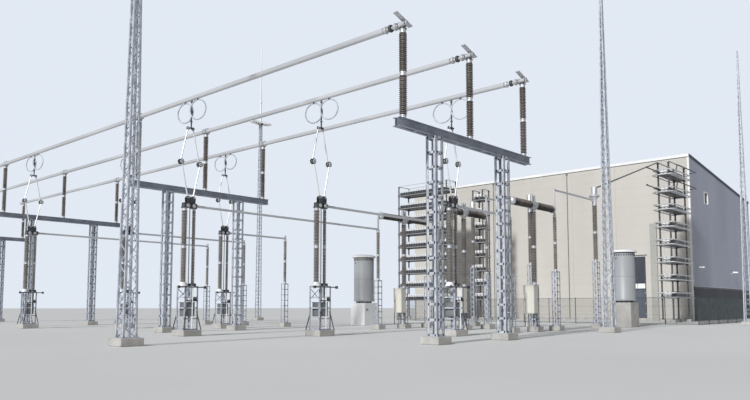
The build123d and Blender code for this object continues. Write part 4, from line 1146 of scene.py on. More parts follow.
def platform(bm, low, high, rings):
    """Four rails round a plate, with field tubes of a given reach, height and girth."""
    for x in (low.x, high.x - RAIL):
        plate(bm, (x, low.y, low.z), (x + RAIL, high.y, high.z), 1, 0.001)
    for y in (low.y, high.y - RAIL):
        plate(bm, (low.x + RAIL, y, low.z + 0.001), (high.x - RAIL, y + RAIL, high.z - 0.001))
    plate(bm, low + Vector((RAIL, RAIL, 0.005)), high - Vector((RAIL, RAIL, 0.004)), 1)
    for reach, z, girth in rings:
        out = Vector((reach, reach, 0))
        swept(bm, rounded(low - out, high + out, z, 0.4 * reach + 0.014), girth, up, True, 8, 2)


def tower_posts(bm, tower_low, tower_high, bottom, top):
    """Four post insulators between two platforms, and the lines of their sheds."""
    profile = both_ends(top - bottom, [(0, 0.0130), (0.008, 0.0130), (0.010, 0.0085)])
    lines_here = []
    for x in (tower_low.x + POST_INSET, tower_high.x - POST_INSET):
        for y in (tower_low.y + POST_INSET, tower_high.y - POST_INSET):
            turned(bm, (x, y, bottom), up, profile, 12, 1)
            lines_here.append(((x, y, bottom + 0.014), (x, y, top - 0.014)))
    return lines_here


# %% Platforms, posts and field tubes
bm = bmesh.new()
shed_lines = []
for tower_low, tower_high in tower_boxes:
    is_near = tower_low == near_tower[0]
    stops = [tower_low.z]
    for low, high in own_platforms(tower_low, tower_high):
        stops += [low.z, high.z]
        field_tubes = [(0.036, high.z + 0.036, 0.0065), (0.042, low.z + 0.002, 0.0065)]
        rail_low = Vector((tower_low.x, tower_low.y, low.z))
        rail_high = Vector((tower_high.x, tower_high.y, high.z))
        platform(bm, rail_low, rail_high, field_tubes if is_near else [(0.010, low.z, 0.0030)])
    stops.append(tower_high.z - 2 * TOP_FRAME)
    for bottom, top in zip(stops[::2], stops[1::2]):
        shed_lines += tower_posts(bm, tower_low, tower_high, bottom, top)
    frame_z = tower_high.z - TOP_FRAME
    swept(bm, rounded(tower_low, tower_high, frame_z, 0.02), 0.004, up, True, 8, 2)
    for y in (tower_low.y + POST_INSET, tower_high.y - POST_INSET):
        tube(bm, (tower_low.x, y, frame_z), (tower_high.x, y, frame_z), 0.004, 10)
piece("tower_platforms", bm, [steel, dark_casting, tube_metal], replaces=["capacitor_racks"])
grow("tower_post_sheds", sheds_tree, lines(shed_lines, girth=[0.0135] * len(shed_lines)), grey_porcelain,
     replaces=["capacitor_racks"], Pitch=0.012, Sides=8)

# %% Long tubes that reach out at the top two platforms of the near tower
REACHING_TUBE = 0.0062
straight = [(0.06, 0, 0), (-0.330, 0, 0), (-0.340, -0.004, 0), (-0.344, -0.018, 0)]
arch = [(0.190, 0, -0.122), (0.200, 0, -0.050), (0.225, 0, -0.012), (0.262, 0, 0),
        (0.840, 0, 0), (0.852, 0.006, 0), (0.855, 0.018, 0), (0.852, 0.070, -0.002)]
bm = bmesh.new()
for low, high in own_platforms(*near_tower)[-2:]:
    straight_start = Vector((near_tower[0].x, near_tower[1].y - 0.010, high.z + 0.026))
    swept(bm, [straight_start + Vector(spot) for spot in straight], REACHING_TUBE, up, False, 10)
    bracket_foot = straight_start + Vector((0.008, -0.003, -0.026))
    plate(bm, bracket_foot, straight_start + Vector((0.014, 0.003, 0)))
    arch_start = Vector((near_tower[0].x, near_tower[0].y - 0.006, high.z + 0.122))
    swept(bm, [arch_start + Vector(spot) for spot in arch], REACHING_TUBE, y_axis, False, 10)
piece("tower_reaching_tubes", bm, [can_dark])

# %% [markdown]
# The cans come from the tree for blocks along lines. Their bushings come from a second tree
# that sets a small turned shape on every step of a line.

# %% The tree for bushings
bushing_tree = Workshop("bushings", Pitch=0.042, Radius=0.0085, Height=0.028)
given, times = bushing_tree.given, bushing_tree.times
steps = bushing_tree.steps_along(given["Pitch"])
stem_sizes = {"Vertices": 8, "Radius": given["Radius"], "Depth": given["Height"]}
stem = bushing_tree.node("GeometryNodeMeshCylinder", stem_sizes)[0]
ball_sizes = {"Segments": 8, "Rings": 5, "Radius": times(given["Radius"], 1.25)}
ball = bushing_tree.node("GeometryNodeMeshUVSphere", ball_sizes)[0]
ball = bushing_tree.moved(ball, translation=bushing_tree.vector(0.0, 0.0, times(given["Height"], 0.6)))
bushing_tree.end(bushing_tree.repeat(steps["Points"], bushing_tree.joined(stem, ball)))

# %% Cans and bushings
CAN_PITCH, CAN_DEPTH, CAN_HEIGHT = 0.042, 0.027, 0.034
can_rows = boxes("capacitor_cans")
near_rows = [b for b in can_rows if b[1].y < near_tower[1].y]
far_rows = [b for b in can_rows if b[0].y > near_tower[1].y]
bushing_lines = []
for width in sorted({round(high.x - low.x, 4) for low, high in far_rows}):
    row_lines = []
    for low, high in [b for b in far_rows if abs(b[1].x - b[0].x - width) <= 0.0005]:
        x, z = (low.x + high.x) / 2, low.z + 0.016
        row_lines.append(((x, low.y + 0.028, z), (x, high.y - 0.028, z)))
        z = low.z + 0.044
        for across in (x - width / 4, x + width / 4):
            bushing_lines.append(((across, low.y + 0.014, z), (across, high.y - 0.014, z)))
    # Painted shade: the far towers' cans are near black in place of their own grey, for the shade inside the
    # racks.
    grow(f"capacitor_cans_{round(width * 1000)}", row_tree, lines(row_lines), can_dark,
         replaces=["capacitor_cans"], Pitch=CAN_PITCH, Size=(width, CAN_DEPTH, CAN_HEIGHT))
grow("capacitor_bushings", bushing_tree, lines(bushing_lines), white_porcelain, replaces=["capacitor_cans"])

# %% Round cans of the near tower
ROUND_CAN = [(0, 0.0195), (0.044, 0.0195), (0.048, 0.016), (0.049, 0.005), (0.055, 0.004)]
bm = bmesh.new()
for low, high in near_rows:
    size = high - low
    for number in range(5):
        # Painted light and shade: the end can on the tower's lit −X side is white and the others are dark grey,
        # lit and shaded copies of one can.
        painted_lit_can = number == 0 and low.x < near_tower[0].x + 0.1
        for row_share in (0.25, 0.75):
            foot = (low.x + (0.1 + 0.2 * number) * size.x, low.y + row_share * size.y, low.z)
            turned(bm, foot, up, ROUND_CAN, 16, 0 if painted_lit_can else 1)
piece("capacitor_round_cans", bm, [white_trim, pipe_grey], replaces=["capacitor_cans"])

# %% [markdown]
# ## Heads of the disconnectors
# Both lower arms turn in a dark head that sits across the two columns. Springs in round
# drums balance the arms' weight. A terminal pad on one side takes the feeder tube. The
# casting is put together from turned and flat parts that overlap, because a single skin
# over them would look the same at this size.

# %% Springs, lugs and pins
LUGS = ((-0.0205, -0.0155), (0.0015, 0.0065))
PIN_START, PIN_LENGTH, PIVOT_Z = LUGS[0][0] - 0.0015, LUGS[1][1] - LUGS[0][0] + 0.003, 0.060
lug_outline = [(0.028, 0.026), (0.024, 0.036), (0.017, 0.040), (0.010, 0.037), (0, 0.030), (-0.010, 0.037),
               (-0.017, 0.040), (-0.024, 0.036), (-0.028, 0.026), (-0.026, 0), (0.026, 0)]


def spring_drum(bm, start):
    """A drum that holds a spring, with a cover and six bolts in front."""
    turned(bm, start, y_axis, both_ends(0.042, [(0, 0.009), (0.003, 0.014)]), 24)
    turned(bm, start - y_axis * 0.001, y_axis, [(0, 0.009), (0.001, 0.011), (0.003, 0.011)], 24, 1)
    for bolt in circle(start - y_axis * 0.0005, x_axis, up, 0.0085, 6):
        turned(bm, bolt, y_axis, [(0, 0.0014), (0.003, 0.0014)], 6, 1)


def lugs_and_pins(bm, pole):
    """Two lugs in which both lower arms turn, and a pin for each arm."""
    for near_y, far_y in LUGS:
        start, end = pole + Vector((0, near_y, 0.029)), pole + Vector((0, far_y, 0.029))
        extruded(bm, lug_outline, start, end, x_axis, up)
    pin_profile = both_ends(PIN_LENGTH, [(0, 0.0060), (0.0012, 0.0060), (0.0014, 0.0039)])
    for shift in (-0.017, 0.017):
        turned(bm, pole + Vector((shift, PIN_START, PIVOT_Z)), y_axis, pin_profile, 16, 1)


# %% Heads
bm = bmesh.new()
for low, high in boxes("disconnector_heads"):
    pole = Vector(((low.x + high.x) / 2, high.y - 0.018, low.z))
    for shift, radius in ((-0.031, 0.021), (0.031, 0.017)):
        socket = [(0, 1), (0.005, 1), (0.008, 0.8), (0.020, 0.8), (0.024, 0.55)]
        turned(bm, pole + x_axis * shift, up, [(rise, share * radius) for rise, share in socket])
    plate(bm, pole + Vector((-0.045, -0.012, 0.006)), pole + Vector((0.045, 0.012, 0.030)), 0, 0.003)
    for shift in (-0.020, 0.020):
        spring_drum(bm, pole + Vector((shift, -0.021, 0.013)))
    plate(bm, pole + Vector((0.040, -0.010, 0.006)), pole + Vector((0.055, 0.010, 0.024)), 1, 0.002)
    lugs_and_pins(bm, pole)
piece("disconnector_head_castings", bm, [dark_casting, cast_metal], replaces=["disconnector_heads"])

# %% [markdown]
# ## What drives the disconnectors
# A drive box at the foot turns a pale insulating rod between the two columns, and the rod
# works the head. Dark struts spread from the pedestal to the edge of its footing, and a
# white hood keeps rain off the bearing under the support column. Each group of parts is a
# function that gets the pedestal's place, so that all six disconnectors are driven alike.

# %% Shapes of rods, hoods, struts and cross bars
COLUMN_SHIFT, ROD_SHIFT = 0.031, 0.0035
hood_profile = [(0, 0.028), (0.004, 0.028), (0.016, 0.020), (0.022, 0.019)]
dial_profile = [(0, 0.006), (0.001, 0.008), (0.016, 0.008)]


def rod_and_bearings(bm, x, y, top):
    """The pale rod, the white hood and the bearing, on top of the pedestal."""
    standing_tube(bm, x + ROD_SHIFT, y, top, top + 0.445, 0.0034)
    turned(bm, (x + ROD_SHIFT, y, top), up, [(0, 0.0055), (0.012, 0.0055), (0.014, 0.0034)], 12, 1)
    turned(bm, (x - COLUMN_SHIFT, y, top), up, hood_profile, 24)
    turned(bm, (x + COLUMN_SHIFT, y, top), up, [(0, 0.021), (0.014, 0.021), (0.017, 0.014)], 20, 1)
    standing_tube(bm, x + COLUMN_SHIFT, y, top - 0.09, top, 0.005, 12, 1)


def front_rods(bm, x, y, foot, top):
    """Rods, dials and a bar on the pedestal's front."""
    standing_tube(bm, x + 0.004, y - 0.003, foot + 0.004, top - 0.002, 0.0030)
    for shift in (-0.033, -0.023):
        standing_tube(bm, x + shift, y + 0.003, foot + 0.17, top - 0.012, 0.0036, 12, 2)
    for index, shift in enumerate((-0.018, 0.024)):
        turned(bm, (x + shift, y - 0.006, foot + 0.172), y_axis, dial_profile, 16, index)
    plate(bm, (x - 0.036, y - 0.003, foot + 0.160), (x + 0.038, y + 0.004, foot + 0.168), 1, 0.0008)


def bracing(bm, x, y, foot, top):
    """The cross bar with its end blocks, the diagonals behind and the struts at the foot."""
    swept(bm, [(x - 0.085, y - 0.046, top - 0.006), (x + 0.085, y - 0.046, top - 0.006)], 0.0030, up, index=1)
    for side in (-1, 1):
        end = x + side * 0.085
        plate(bm, (end - 0.006, y - 0.052, top - 0.014), (end + 0.006, y - 0.040, top + 0.002), 1, 0.001)
        diagonal = [(x + side * 0.040, y + 0.044, top - 0.010), (x - side * 0.040, y + 0.044, foot + 0.17)]
        swept(bm, diagonal, 0.0024, y_axis, False, 6, 2)
        for other in (-1, 1):
            upper_end_of_strut = (x + side * 0.036, y + other * 0.040, foot + 0.105)
            tube(bm, upper_end_of_strut, (x + side * 0.056, y + other * 0.056, foot), 0.0030, 8, 1)


# %% Drives of all disconnectors
bm = bmesh.new()
for low, high in wide_pedestals:
    x, y, _ = centre_of(low, high)
    rod_and_bearings(bm, x, y, high.z)
    front_rods(bm, x, low.y, low.z, high.z)
    bracing(bm, x, y, low.z, high.z)
piece("disconnector_drives", bm, [white_porcelain, dark_casting, steel])

# %% Doors and stands of the cabinets
def doors(bm, low, high, index):
    """A door on the front and one on the side, each with a handle."""
    bottom, top, handle_z = low.z + 0.006, high.z - 0.010, (low.z + high.z) / 2
    plate(bm, (low.x - 0.0012, low.y + 0.004, bottom), (low.x + 0.0005, high.y - 0.004, top), index, 0.0005)
    plate(bm, (low.x + 0.004, low.y - 0.0012, bottom), (high.x - 0.004, low.y + 0.0005, top), index, 0.0005)
    bottom, top = handle_z - 0.007, handle_z + 0.007
    plate(bm, (low.x - 0.0032, high.y - 0.011, bottom), (low.x - 0.0012, high.y - 0.008, top), 2)
    plate(bm, (high.x - 0.011, low.y - 0.0032, bottom), (high.x - 0.008, low.y - 0.0012, top), 2)


def stand(bm, low, high):
    """Four legs under a breaker's cabinet, tied by two bars."""
    for x in (low.x + 0.003, high.x - 0.007):
        for y in (low.y + 0.004, high.y - 0.008):
            plate(bm, (x, y, 0.034), (x + 0.004, y + 0.004, low.z + 0.001), 2)
    for z in (0.07, 0.112):
        plate(bm, (low.x + 0.003, low.y + 0.004, z), (high.x - 0.003, low.y + 0.007, z + 0.004), 2)


# %% Cabinets
bm = bmesh.new()
for low, high in boxes("cabinets"):
    is_cabinet = high.z - low.z > 0.1
    index = 0 if is_cabinet else 1
    eave = Vector((0.002, 0.002, 0))
    plate(bm, low, high - up * 0.004, index, 0.0015)
    plate(bm, Vector((low.x, low.y, high.z - 0.004)) - eave, high + eave, index, 0.001)
    doors(bm, low, high, index)
    if is_cabinet:
        stand(bm, low, high)
piece("cabinet_bodies", bm, [beige_paint, pipe_grey, dark_casting], replaces=["cabinets"])

# %% [markdown]
# ## Fittings on the busbars
# Clamps in two halves hold the tubes on their posts. At the near end a string of round
# connectors takes up the tube's growth in the sun, and a slanted plate with bolts sits on
# the clamp. All of it is turned about straight axes, except the plate, which is an outline.

# %% Shapes of clamps, connectors and end plates
BUSBAR_Z, SLIM = 1.368, 0.66
TILT = math.radians(18)
sleeve_profile = both_ends(0.050, [(0, 0.0165), (0.003, 0.0205), (0.010, 0.0205), (0.012, 0.0180)])
foot_profile = [(0, 0.017), (0.004, 0.017), (0.006, 0.012), (0.012, 0.012)]
bead_profile = [(0, 0.010), (0.003, 0.0155), (0.0085, 0.0170), (0.014, 0.0155), (0.017, 0.010)]


def clamp(bm, x, y, slim):
    """A clamp in two halves, with its foot, its seams and four bolts."""
    turned(bm, (x, y, BUSBAR_Z), y_axis, [(along, slim * radius) for along, radius in sleeve_profile], 28)
    turned(bm, (x, y + 0.025, BUSBAR_Z - 0.022), up, foot_profile, 24, 1)
    for shift in (0.0035, 0.0435):
        turned(bm, (x, y + shift, BUSBAR_Z), y_axis, [(0, 0.0208 * slim), (0.003, 0.0208 * slim)], 28, 1)
    for side in (-1, 1):
        for shift in (0.007, 0.043):
            bolt_x = x + side * slim * 0.0195
            standing_tube(bm, bolt_x, y + shift, BUSBAR_Z - 0.006, BUSBAR_Z + 0.006, 0.0018, 6, 1)


def connector_string(bm, x, near_y, far_y):
    """A thin tube with three round connectors, of which the middle one is dark."""
    tube(bm, (x, near_y, BUSBAR_Z), (x, far_y, BUSBAR_Z), 0.0075, 20)
    for number, index in enumerate((0, 1, 0)):
        centre_y = far_y - (2.5 - number) * 0.028
        turned(bm, (x, centre_y - 0.0085, BUSBAR_Z), y_axis, bead_profile, 24, index)


def end_plate(bm, pad):
    """A slanted plate with a row of bolts at both of its ends."""
    side = Vector((math.cos(TILT), 0, -math.sin(TILT)))
    rise = Vector((math.sin(TILT), 0, math.cos(TILT)))
    section = [(-0.055, -0.002), (0.055, -0.002), (0.055, 0.002), (-0.055, 0.002)]
    extruded(bm, section, pad, pad + y_axis * 0.022, side, rise)
    for shift in (-0.048, -0.038, 0.038, 0.048):
        for along in (0.006, 0.016):
            bolt = pad + side * shift + y_axis * along + rise * 0.002
            turned(bm, bolt, rise, [(0, 0.0022), (0.0025, 0.0022)], 6, 1)


# %% Clamps, connectors and end plates
bm = bmesh.new()
for low, high in boxes("busbar_fittings"):
    x = (low.x + high.x) / 2
    at_end = high.y - low.y > 0.06
    clamp(bm, x, low.y, SLIM if at_end else 1.0)
    if at_end:
        connector_string(bm, x, low.y + 0.045, high.y)
        end_plate(bm, Vector((x, low.y + 0.014, BUSBAR_Z + 0.022)))
piece("busbar_clamps", bm, [cast_metal, dark_casting], replaces=["busbar_fittings"])

# %% [markdown]
# ## Lamp mast
# The taller mast ends in a platform whose two wings carry floodlights. A thin needle above
# it catches lightning. The wings are one outline, which is turned round for the left side.

# %% Shapes of wings and needle
def wing(bm, x, low, high, side):
    """A slanted wing that reaches to one side, with three floodlights."""
    outer = side * (high.x - x)
    outline = [(side * 0.022, 0.002), (outer, 0.016), (outer, 0.028), (side * 0.022, 0.016)]
    extruded(bm, outline[::side], (x, low.y, low.z), (x, high.y, low.z), x_axis, up)
    for number in range(3):
        lamp_x, lamp_z = x + side * (0.055 + 0.035 * number), low.z + 0.002 + 0.006 * number
        lamp_low = (lamp_x - 0.009, low.y + 0.002, lamp_z)
        lamp_high = (lamp_x + 0.009, low.y + 0.022, lamp_z + 0.012)
        plate(bm, lamp_low, lamp_high, 2, 0.001)


def needle(bm, x, y, low_z, height):
    """The lightning needle on its socket."""
    socket = [(0, 0.012), (0.24, 0.010), (0.245, 0.014), (0.268, 0.014), (0.272, 0.0085)]
    turned(bm, (x, y, low_z), up, socket + [(height - 0.02, 0.0050), (height, 0)], 14)


# %% Platform and needle of the lamp mast
bm = bmesh.new()
for low, high in boxes("lamp_platform"):
    x, y, _ = centre_of(low, high)
    if high.z - low.z > 0.5:
        needle(bm, x, y, low.z, high.z - low.z)
        continue
    for side in (-1, 1):
        wing(bm, x, low, high, side)
    plate(bm, (x - 0.022, low.y + 0.008, low.z), (x + 0.022, high.y - 0.008, low.z + 0.018), 2, 0.001)
    rail = rounded(low + x_axis * 0.004, high - x_axis * 0.004, high.z - 0.001, 0.01)
    swept(bm, rail, 0.0012, up, True, 6, 1)
piece("lamp_wings", bm, [white_trim, steel, dark_casting], replaces=["lamp_platform"])

# %% [markdown]
# ## Rings of small blocks
# Vents under a hat and blocks under a foot stand at an even pitch on a circle. This tree
# sets one ring of them on every point that it gets.

# %% The tree for rings
ring_tree = Workshop("ring_of_blocks", Count=12, Radius=0.09, Size=(0.01, 0.01, 0.01))
given = ring_tree.given
rim = ring_tree.node("GeometryNodeMeshCircle", {"Vertices": given["Count"], "Radius": given["Radius"]})[0]
even_turns = ring_tree.turning(ring_tree.step("DIVIDE", 2 * math.pi, given["Count"]))
ring = ring_tree.repeat(rim, ring_tree.block(given["Size"]), rotation=even_turns)
ring_tree.end(ring_tree.repeat(given["Geometry"], ring))

# %% Bands, lifting eyes, vents and feet of the reactors
SKIN = 0.0895
vent_points, foot_points = [], []
bm = bmesh.new()
for low, high in boxes("reactor_tanks"):
    x, y, _ = centre_of(low, high)
    vent_points.append([(x, y, low.z + 0.388)])
    foot_points.append([(x, y, low.z + 0.007)])
    turned(bm, (x, y, low.z + 0.210), up, both_ends(0.008, [(0, SKIN), (0.001, 0.0915)]), 64)
    turned(bm, (x, y, low.z + 0.404), up, both_ends(0.007, [(0, SKIN), (0.001, 0.0950)]), 64, 1)
    for angle in [math.radians(a) for a in (45, 165, 285)]:
        eye = (x + 0.092 * math.cos(angle), y + 0.092 * math.sin(angle), low.z + 0.354)
        turned(bm, eye, up, both_ends(0.012, [(0, 0.003), (0.002, 0.004)]), 10, 1)
piece("reactor_bands", bm, [grey_paint, dark_casting])
grow("reactor_vents", ring_tree, lines(vent_points), dark_casting,
     Count=28, Radius=0.0896, Size=(0.003, 0.011, 0.012))
grow("reactor_feet", ring_tree, lines(foot_points), dark_casting,
     Count=10, Radius=0.066, Size=(0.010, 0.008, 0.015))

# %% Plinths of the reactors
bm = bmesh.new()
plinth_middle = centre_of(*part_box("reactor_plinths"))
for low, high in boxes("reactor_plinths"):
    plate(bm, low, high, 2 if high.y < plinth_middle.y else 0, 0.003)
    plate(bm, (low.x + 0.02, low.y - 0.0006, low.z + 0.13), (low.x + 0.05, low.y + 0.001, low.z + 0.15), 1)
piece("reactor_plinth_blocks", bm, [plinth_white, grey_paint, concrete], replaces=["reactor_plinths"])

# %% [markdown]
# ## Footings
# Precast footings have broken edges. Everything on them stands on a base plate held by
# anchor bolts, which a small tree sets round each foot. The masts are drawn slimmer than
# in the CAD, and so are their footings.

# %% Footings
MAST_FOOTING_INSET = Vector((0.022, 0.022, 0))
mast_middles = [centre_of(*mast) for mast in mast_boxes]
bm = bmesh.new()
for low, high in boxes("footings"):
    middle = centre_of(low, high)
    if any((middle - mast_middle).xy.length < 0.01 for mast_middle in mast_middles):
        low, high = low + MAST_FOOTING_INSET, high - MAST_FOOTING_INSET
    plate(bm, low, high, 0, 0.003)
piece("footing_blocks", bm, [concrete], replaces=["footings"], crease=20)

# %% The tree for base plates
anchor_tree = Workshop("base_plates", Width=0.06, Thickness=0.002, Bolt=0.0018)
given, vector, times = anchor_tree.given, anchor_tree.vector, anchor_tree.times
base = anchor_tree.block(vector(given["Width"], given["Width"], given["Thickness"]))
base = anchor_tree.moved(base, translation=vector(0.0, 0.0, times(given["Thickness"], 0.5)))
nut_sizes = {"Vertices": 6, "Radius": given["Bolt"], "Depth": 0.006}
nut = anchor_tree.node("GeometryNodeMeshCylinder", nut_sizes)[0]
spots = anchor_tree.node("GeometryNodeMeshCircle", {"Vertices": 4, "Radius": times(given["Width"], 0.60)})[0]
spots = anchor_tree.moved(spots, rotation=(0.0, 0.0, math.pi / 4), translation=(0.0, 0.0, 0.004))
foot = anchor_tree.joined(base, anchor_tree.repeat(spots, nut))
anchor_tree.end(anchor_tree.repeat(given["Geometry"], foot))

# %% Base plates
narrow_pedestals = [b for b in pedestals if b not in wide_pedestals]
grow("leg_base_plates", anchor_tree, lines(feet(leg_boxes)), steel, Width=0.068)
grow("mast_base_plates", anchor_tree, lines(feet(mast_boxes)), steel, Width=0.082)
grow("pedestal_base_plates", anchor_tree, lines(feet(wide_pedestals)), steel, Width=0.096)
grow("post_base_plates", anchor_tree, lines(feet(narrow_pedestals)), steel, Width=0.052)

# %% [markdown]
# ## Fence
# The fence is welded mesh between dark posts: upright wires at a close pitch and a few
# level wires behind them. A see-through sheet would be lighter, but real wires look right
# from near and far and need no picture of mesh.

# %% Posts, rails and mesh
BAY, FENCE_TOP, WIRE_PITCH = 0.3, 0.258, 0.0065
RAILS = ((0.006, 0.0016), (0.090, 0.0007), (0.172, 0.0007), (0.254, 0.0016))
fence_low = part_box("fence")[0]
x0, y0 = fence_low.x + 0.0035, fence_low.y + 0.0035
x1, y1 = x0 + 5 * BAY, y0 + 12 * BAY
bm = bmesh.new()
for x, y in [(x0, y0 + BAY * i) for i in range(13)] + [(x0 + BAY * (i + 1), y0) for i in range(5)]:
    plate(bm, (x - 0.003, y - 0.003, 0), (x + 0.003, y + 0.003, FENCE_TOP), 0, 0.0006)
    turned(bm, (x, y, FENCE_TOP - 0.002), up, [(0, 0.0036), (0.002, 0.0036), (0.004, 0.002)], 10)
for z, girth in RAILS:
    tube(bm, (x0, y0, z), (x0, y1, z), girth, 6)
    tube(bm, (x0, y0, z), (x1, y0, z), girth, 6)
piece("fence_posts", bm, [dark_fence], replaces=["fence"])
wire_lines = [((x0, y0 + 0.006, 0.13), (x0, y1, 0.13)), ((x0 + 0.006, y0, 0.13), (x1, y0, 0.13))]
grow("fence_mesh", row_tree, lines(wire_lines), dark_fence, replaces=["fence"],
     Pitch=WIRE_PITCH, Size=(0.0010, 0.0010, 0.254))

# %% [markdown]
# ## Hall
# The cladding is drawn in its finish. Trim, door, louvre, window and lamps are modelled,
# because their shadows give the large walls their scale.

# %% Door leaf, riding on its own hinge
FRONT_X, BACK_X, GABLE_Y, FAR_Y, COPING_Z = -1.3, 1.3, -2.125, 2.125, 1.985
low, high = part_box("hall_door")
hinge_y, handle_x, handle_y = low.y + 0.004, FRONT_X - 0.004, high.y - 0.014
middle_y = (hinge_y + high.y) / 2
bm = bmesh.new()
plate(bm, (FRONT_X, hinge_y, low.z), (FRONT_X + 0.010, high.y, high.z), 0, 0.0005)
for y0, y1 in ((hinge_y + 0.008, middle_y - 0.004), (middle_y + 0.004, high.y - 0.008)):
    for z0, z1 in ((low.z + 0.012, low.z + 0.165), (low.z + 0.177, high.z - 0.012)):
        plate(bm, (FRONT_X - 0.0016, y0, z0), (FRONT_X + 0.0005, y1, z1), 0, 0.0006)
standing_tube(bm, handle_x, handle_y, low.z + 0.095, low.z + 0.130, 0.0012, 8, 1)
for z in (low.z + 0.095, low.z + 0.130):
    tube(bm, (handle_x, handle_y, z), (FRONT_X + 0.0005, handle_y, z), 0.0012, 8, 1)
for share in (0.12, 0.5, 0.88):
    hinge_z = low.z + share * (high.z - low.z) - 0.0125
    turned(bm, (FRONT_X, hinge_y, hinge_z), up, both_ends(0.025, [(0, 0.002), (0.002, 0.0038)]), 12, 1)
piece("door_leaf", bm, [dark_door, steel], body="hall_door", replaces=["hall_door"])

# %% [markdown]
# ### Panes and louvre
# Over the door are two white panes, and over them a louvre lets air into the hall. Its
# slats are boards at one pitch, so the tree for blocks makes them along an upright line.

# %% Louvre and frame above the door
low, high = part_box("door_louvre")
frame_x, middle_y, slat_x = low.x - 0.003, (low.y + high.y) / 2, low.x + 0.006
bm = bmesh.new()
plate(bm, (low.x + 0.012, low.y, low.z), high)
for y in (low.y - 0.006, high.y - 0.002):
    plate(bm, (frame_x, y, 0.03), (low.x + 0.001, y + 0.008, high.z + 0.006), 1, 0.0008)
for y0, y1 in ((low.y + 0.008, middle_y - 0.003), (middle_y + 0.003, high.y - 0.008)):
    plate(bm, (low.x + 0.002, y0, low.z + 0.006), (low.x + 0.0125, y1, low.z + 0.068), 2, 0.001)
for z in (low.z - 0.004, low.z + 0.07, high.z - 0.002):
    plate(bm, (frame_x, low.y, z), (low.x + 0.013, high.y, z + 0.008), 1, 0.0008)
plate(bm, (low.x - 0.030, low.y - 0.030, high.z + 0.030), (low.x, high.y + 0.030, high.z + 0.034), 2, 0.001)
piece("louvre_frame", bm, [dark_door, dark_casting, white_trim], replaces=["door_louvre"])
slat_line = [((slat_x, middle_y, low.z + 0.084), (slat_x, middle_y, high.z - 0.006))]
grow("louvre_slats", row_tree, lines(slat_line), dark_door, replaces=["door_louvre"],
     Pitch=0.012, Size=(0.009, high.y - low.y - 0.002, 0.004))

# %% [markdown]
# ### Window
# High in the gable sits a single window. The frame stands a little proud of the sheet and
# the pane lies behind it, because that step is what a viewer sees of a window from afar.

# %% Window
FRAME = 0.012
low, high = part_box("gable_window")
front_y, back_y = GABLE_Y - 0.003, GABLE_Y + 0.020
bm = bmesh.new()
plate(bm, low + Vector((0.010, 0, 0.010)), high - Vector((0.010, 0, 0.010)), 1)
for x in (low.x, high.x - FRAME):
    plate(bm, (x, front_y, low.z), (x + FRAME, back_y, high.z), 0, 0.0008)
for z in (low.z, high.z - FRAME):
    plate(bm, (low.x + FRAME, front_y, z), (high.x - FRAME, back_y, z + FRAME), 0, 0.0008)
piece("window_frame", bm, [white_trim, glass], replaces=["gable_window"])

# %% [markdown]
# ### Trim, pipes and duct
# Folded sheet covers the edges of the cladding: a coping on the eaves, a strip at the
# corner, a band on the gable and a verge under the roof. Two down-pipes and a duct run up
# the front. They are plain plates and tubes, but their shadows say where a wall ends.

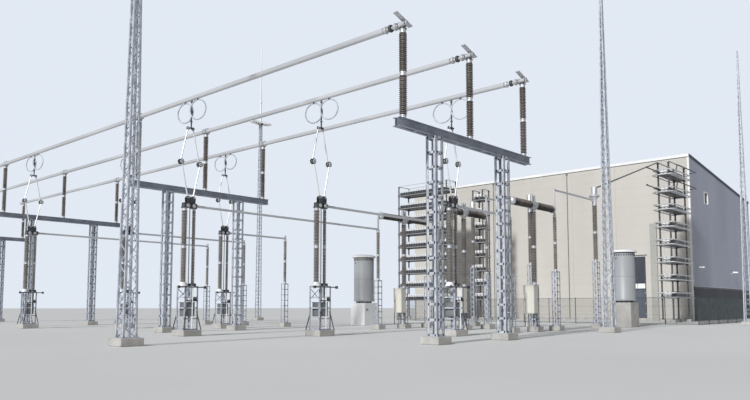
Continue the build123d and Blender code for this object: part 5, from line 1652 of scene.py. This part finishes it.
# %% Coping, corner strip, band and verge
bm = bmesh.new()
plate(bm, (FRONT_X - 0.012, GABLE_Y, COPING_Z), (FRONT_X, FAR_Y, 2.020), 0, 0.001)
plate(bm, (FRONT_X - 0.016, GABLE_Y, COPING_Z), (FRONT_X - 0.010, FAR_Y, 1.990), 0, 0.001)
plate(bm, (FRONT_X - 0.002, GABLE_Y, 0), (FRONT_X + 0.0005, GABLE_Y + 0.023, COPING_Z), 0, 0.0006)
plate(bm, (FRONT_X, GABLE_Y - 0.0090, 0.412), (BACK_X, GABLE_Y + 0.001, 0.416), 0, 0.0008)
plate(bm, (FRONT_X, GABLE_Y - 0.0095, 0.392), (BACK_X, GABLE_Y + 0.001, 0.412), 3, 0.0008)
verge = [(FRONT_X, 1.996), (BACK_X, 1.696), (BACK_X, 1.716), (FRONT_X, 2.016)]
extruded(bm, verge, (0, GABLE_Y - 0.0095, 0), (0, GABLE_Y + 0.0015, 0), x_axis, up, 3)

# %% Down-pipes and duct, in one piece with the coping
PIPE, PIPE_X = 0.0048, FRONT_X - 0.0065
for share in (0.375, 0.65):
    y = GABLE_Y + share * (FAR_Y - GABLE_Y)
    standing_tube(bm, PIPE_X, y, 0, COPING_Z, PIPE, 16, 1)
    plate(bm, (FRONT_X - 0.014, y - 0.012, COPING_Z - 0.030), (FRONT_X, y + 0.012, COPING_Z), 1, 0.001)
    for number in range(8):
        joint = both_ends(0.006, [(0, PIPE), (0.001, 0.0060)])
        turned(bm, (PIPE_X, y, 0.12 + 0.24 * number), up, joint, 16, 1)
low, high = next(b for b in boxes("hall_trim") if b[1].z < 1.5)
plate(bm, low, high - up * 0.001, 2, 0.0015)
for number in range(6):
    z = 0.2 * number + 0.17
    plate(bm, (low.x - 0.0015, low.y - 0.0015, z), (high.x, high.y + 0.0015, z + 0.004), 2)
piece("wall_trim", bm, [white_trim, pipe_grey, duct_grey, dark_door], replaces=["hall_trim"])

# %% [markdown]
# ### Wall lamps
# Lamps on bent necks light the foot of the gable. The neck is a bar swept along four
# points, and the head is an outline that narrows towards its top.

# %% Wall lamps
lamp_section = [(-0.012, -0.018), (0.012, -0.018), (0.010, 0.0), (-0.010, 0.0)]
bm = bmesh.new()
for low, high in boxes("wall_lamps"):
    x = (low.x + high.x) / 2
    neck = [(x, high.y, high.z - 0.030), (x, high.y - 0.02, high.z - 0.024),
            (x, high.y - 0.045, high.z - 0.008), (x, low.y + 0.03, high.z - 0.006)]
    swept(bm, neck, 0.0042, x_axis, False, 10)
    turned(bm, (x, high.y - 0.003, high.z - 0.030), y_axis, [(0, 0.007), (0.003, 0.007)], 14)
    extruded(bm, lamp_section, (x, low.y, high.z - 0.004), (x, low.y + 0.062, high.z), x_axis, up, 1)
piece("wall_lamp_heads", bm, [steel, white_trim], replaces=["wall_lamps"])
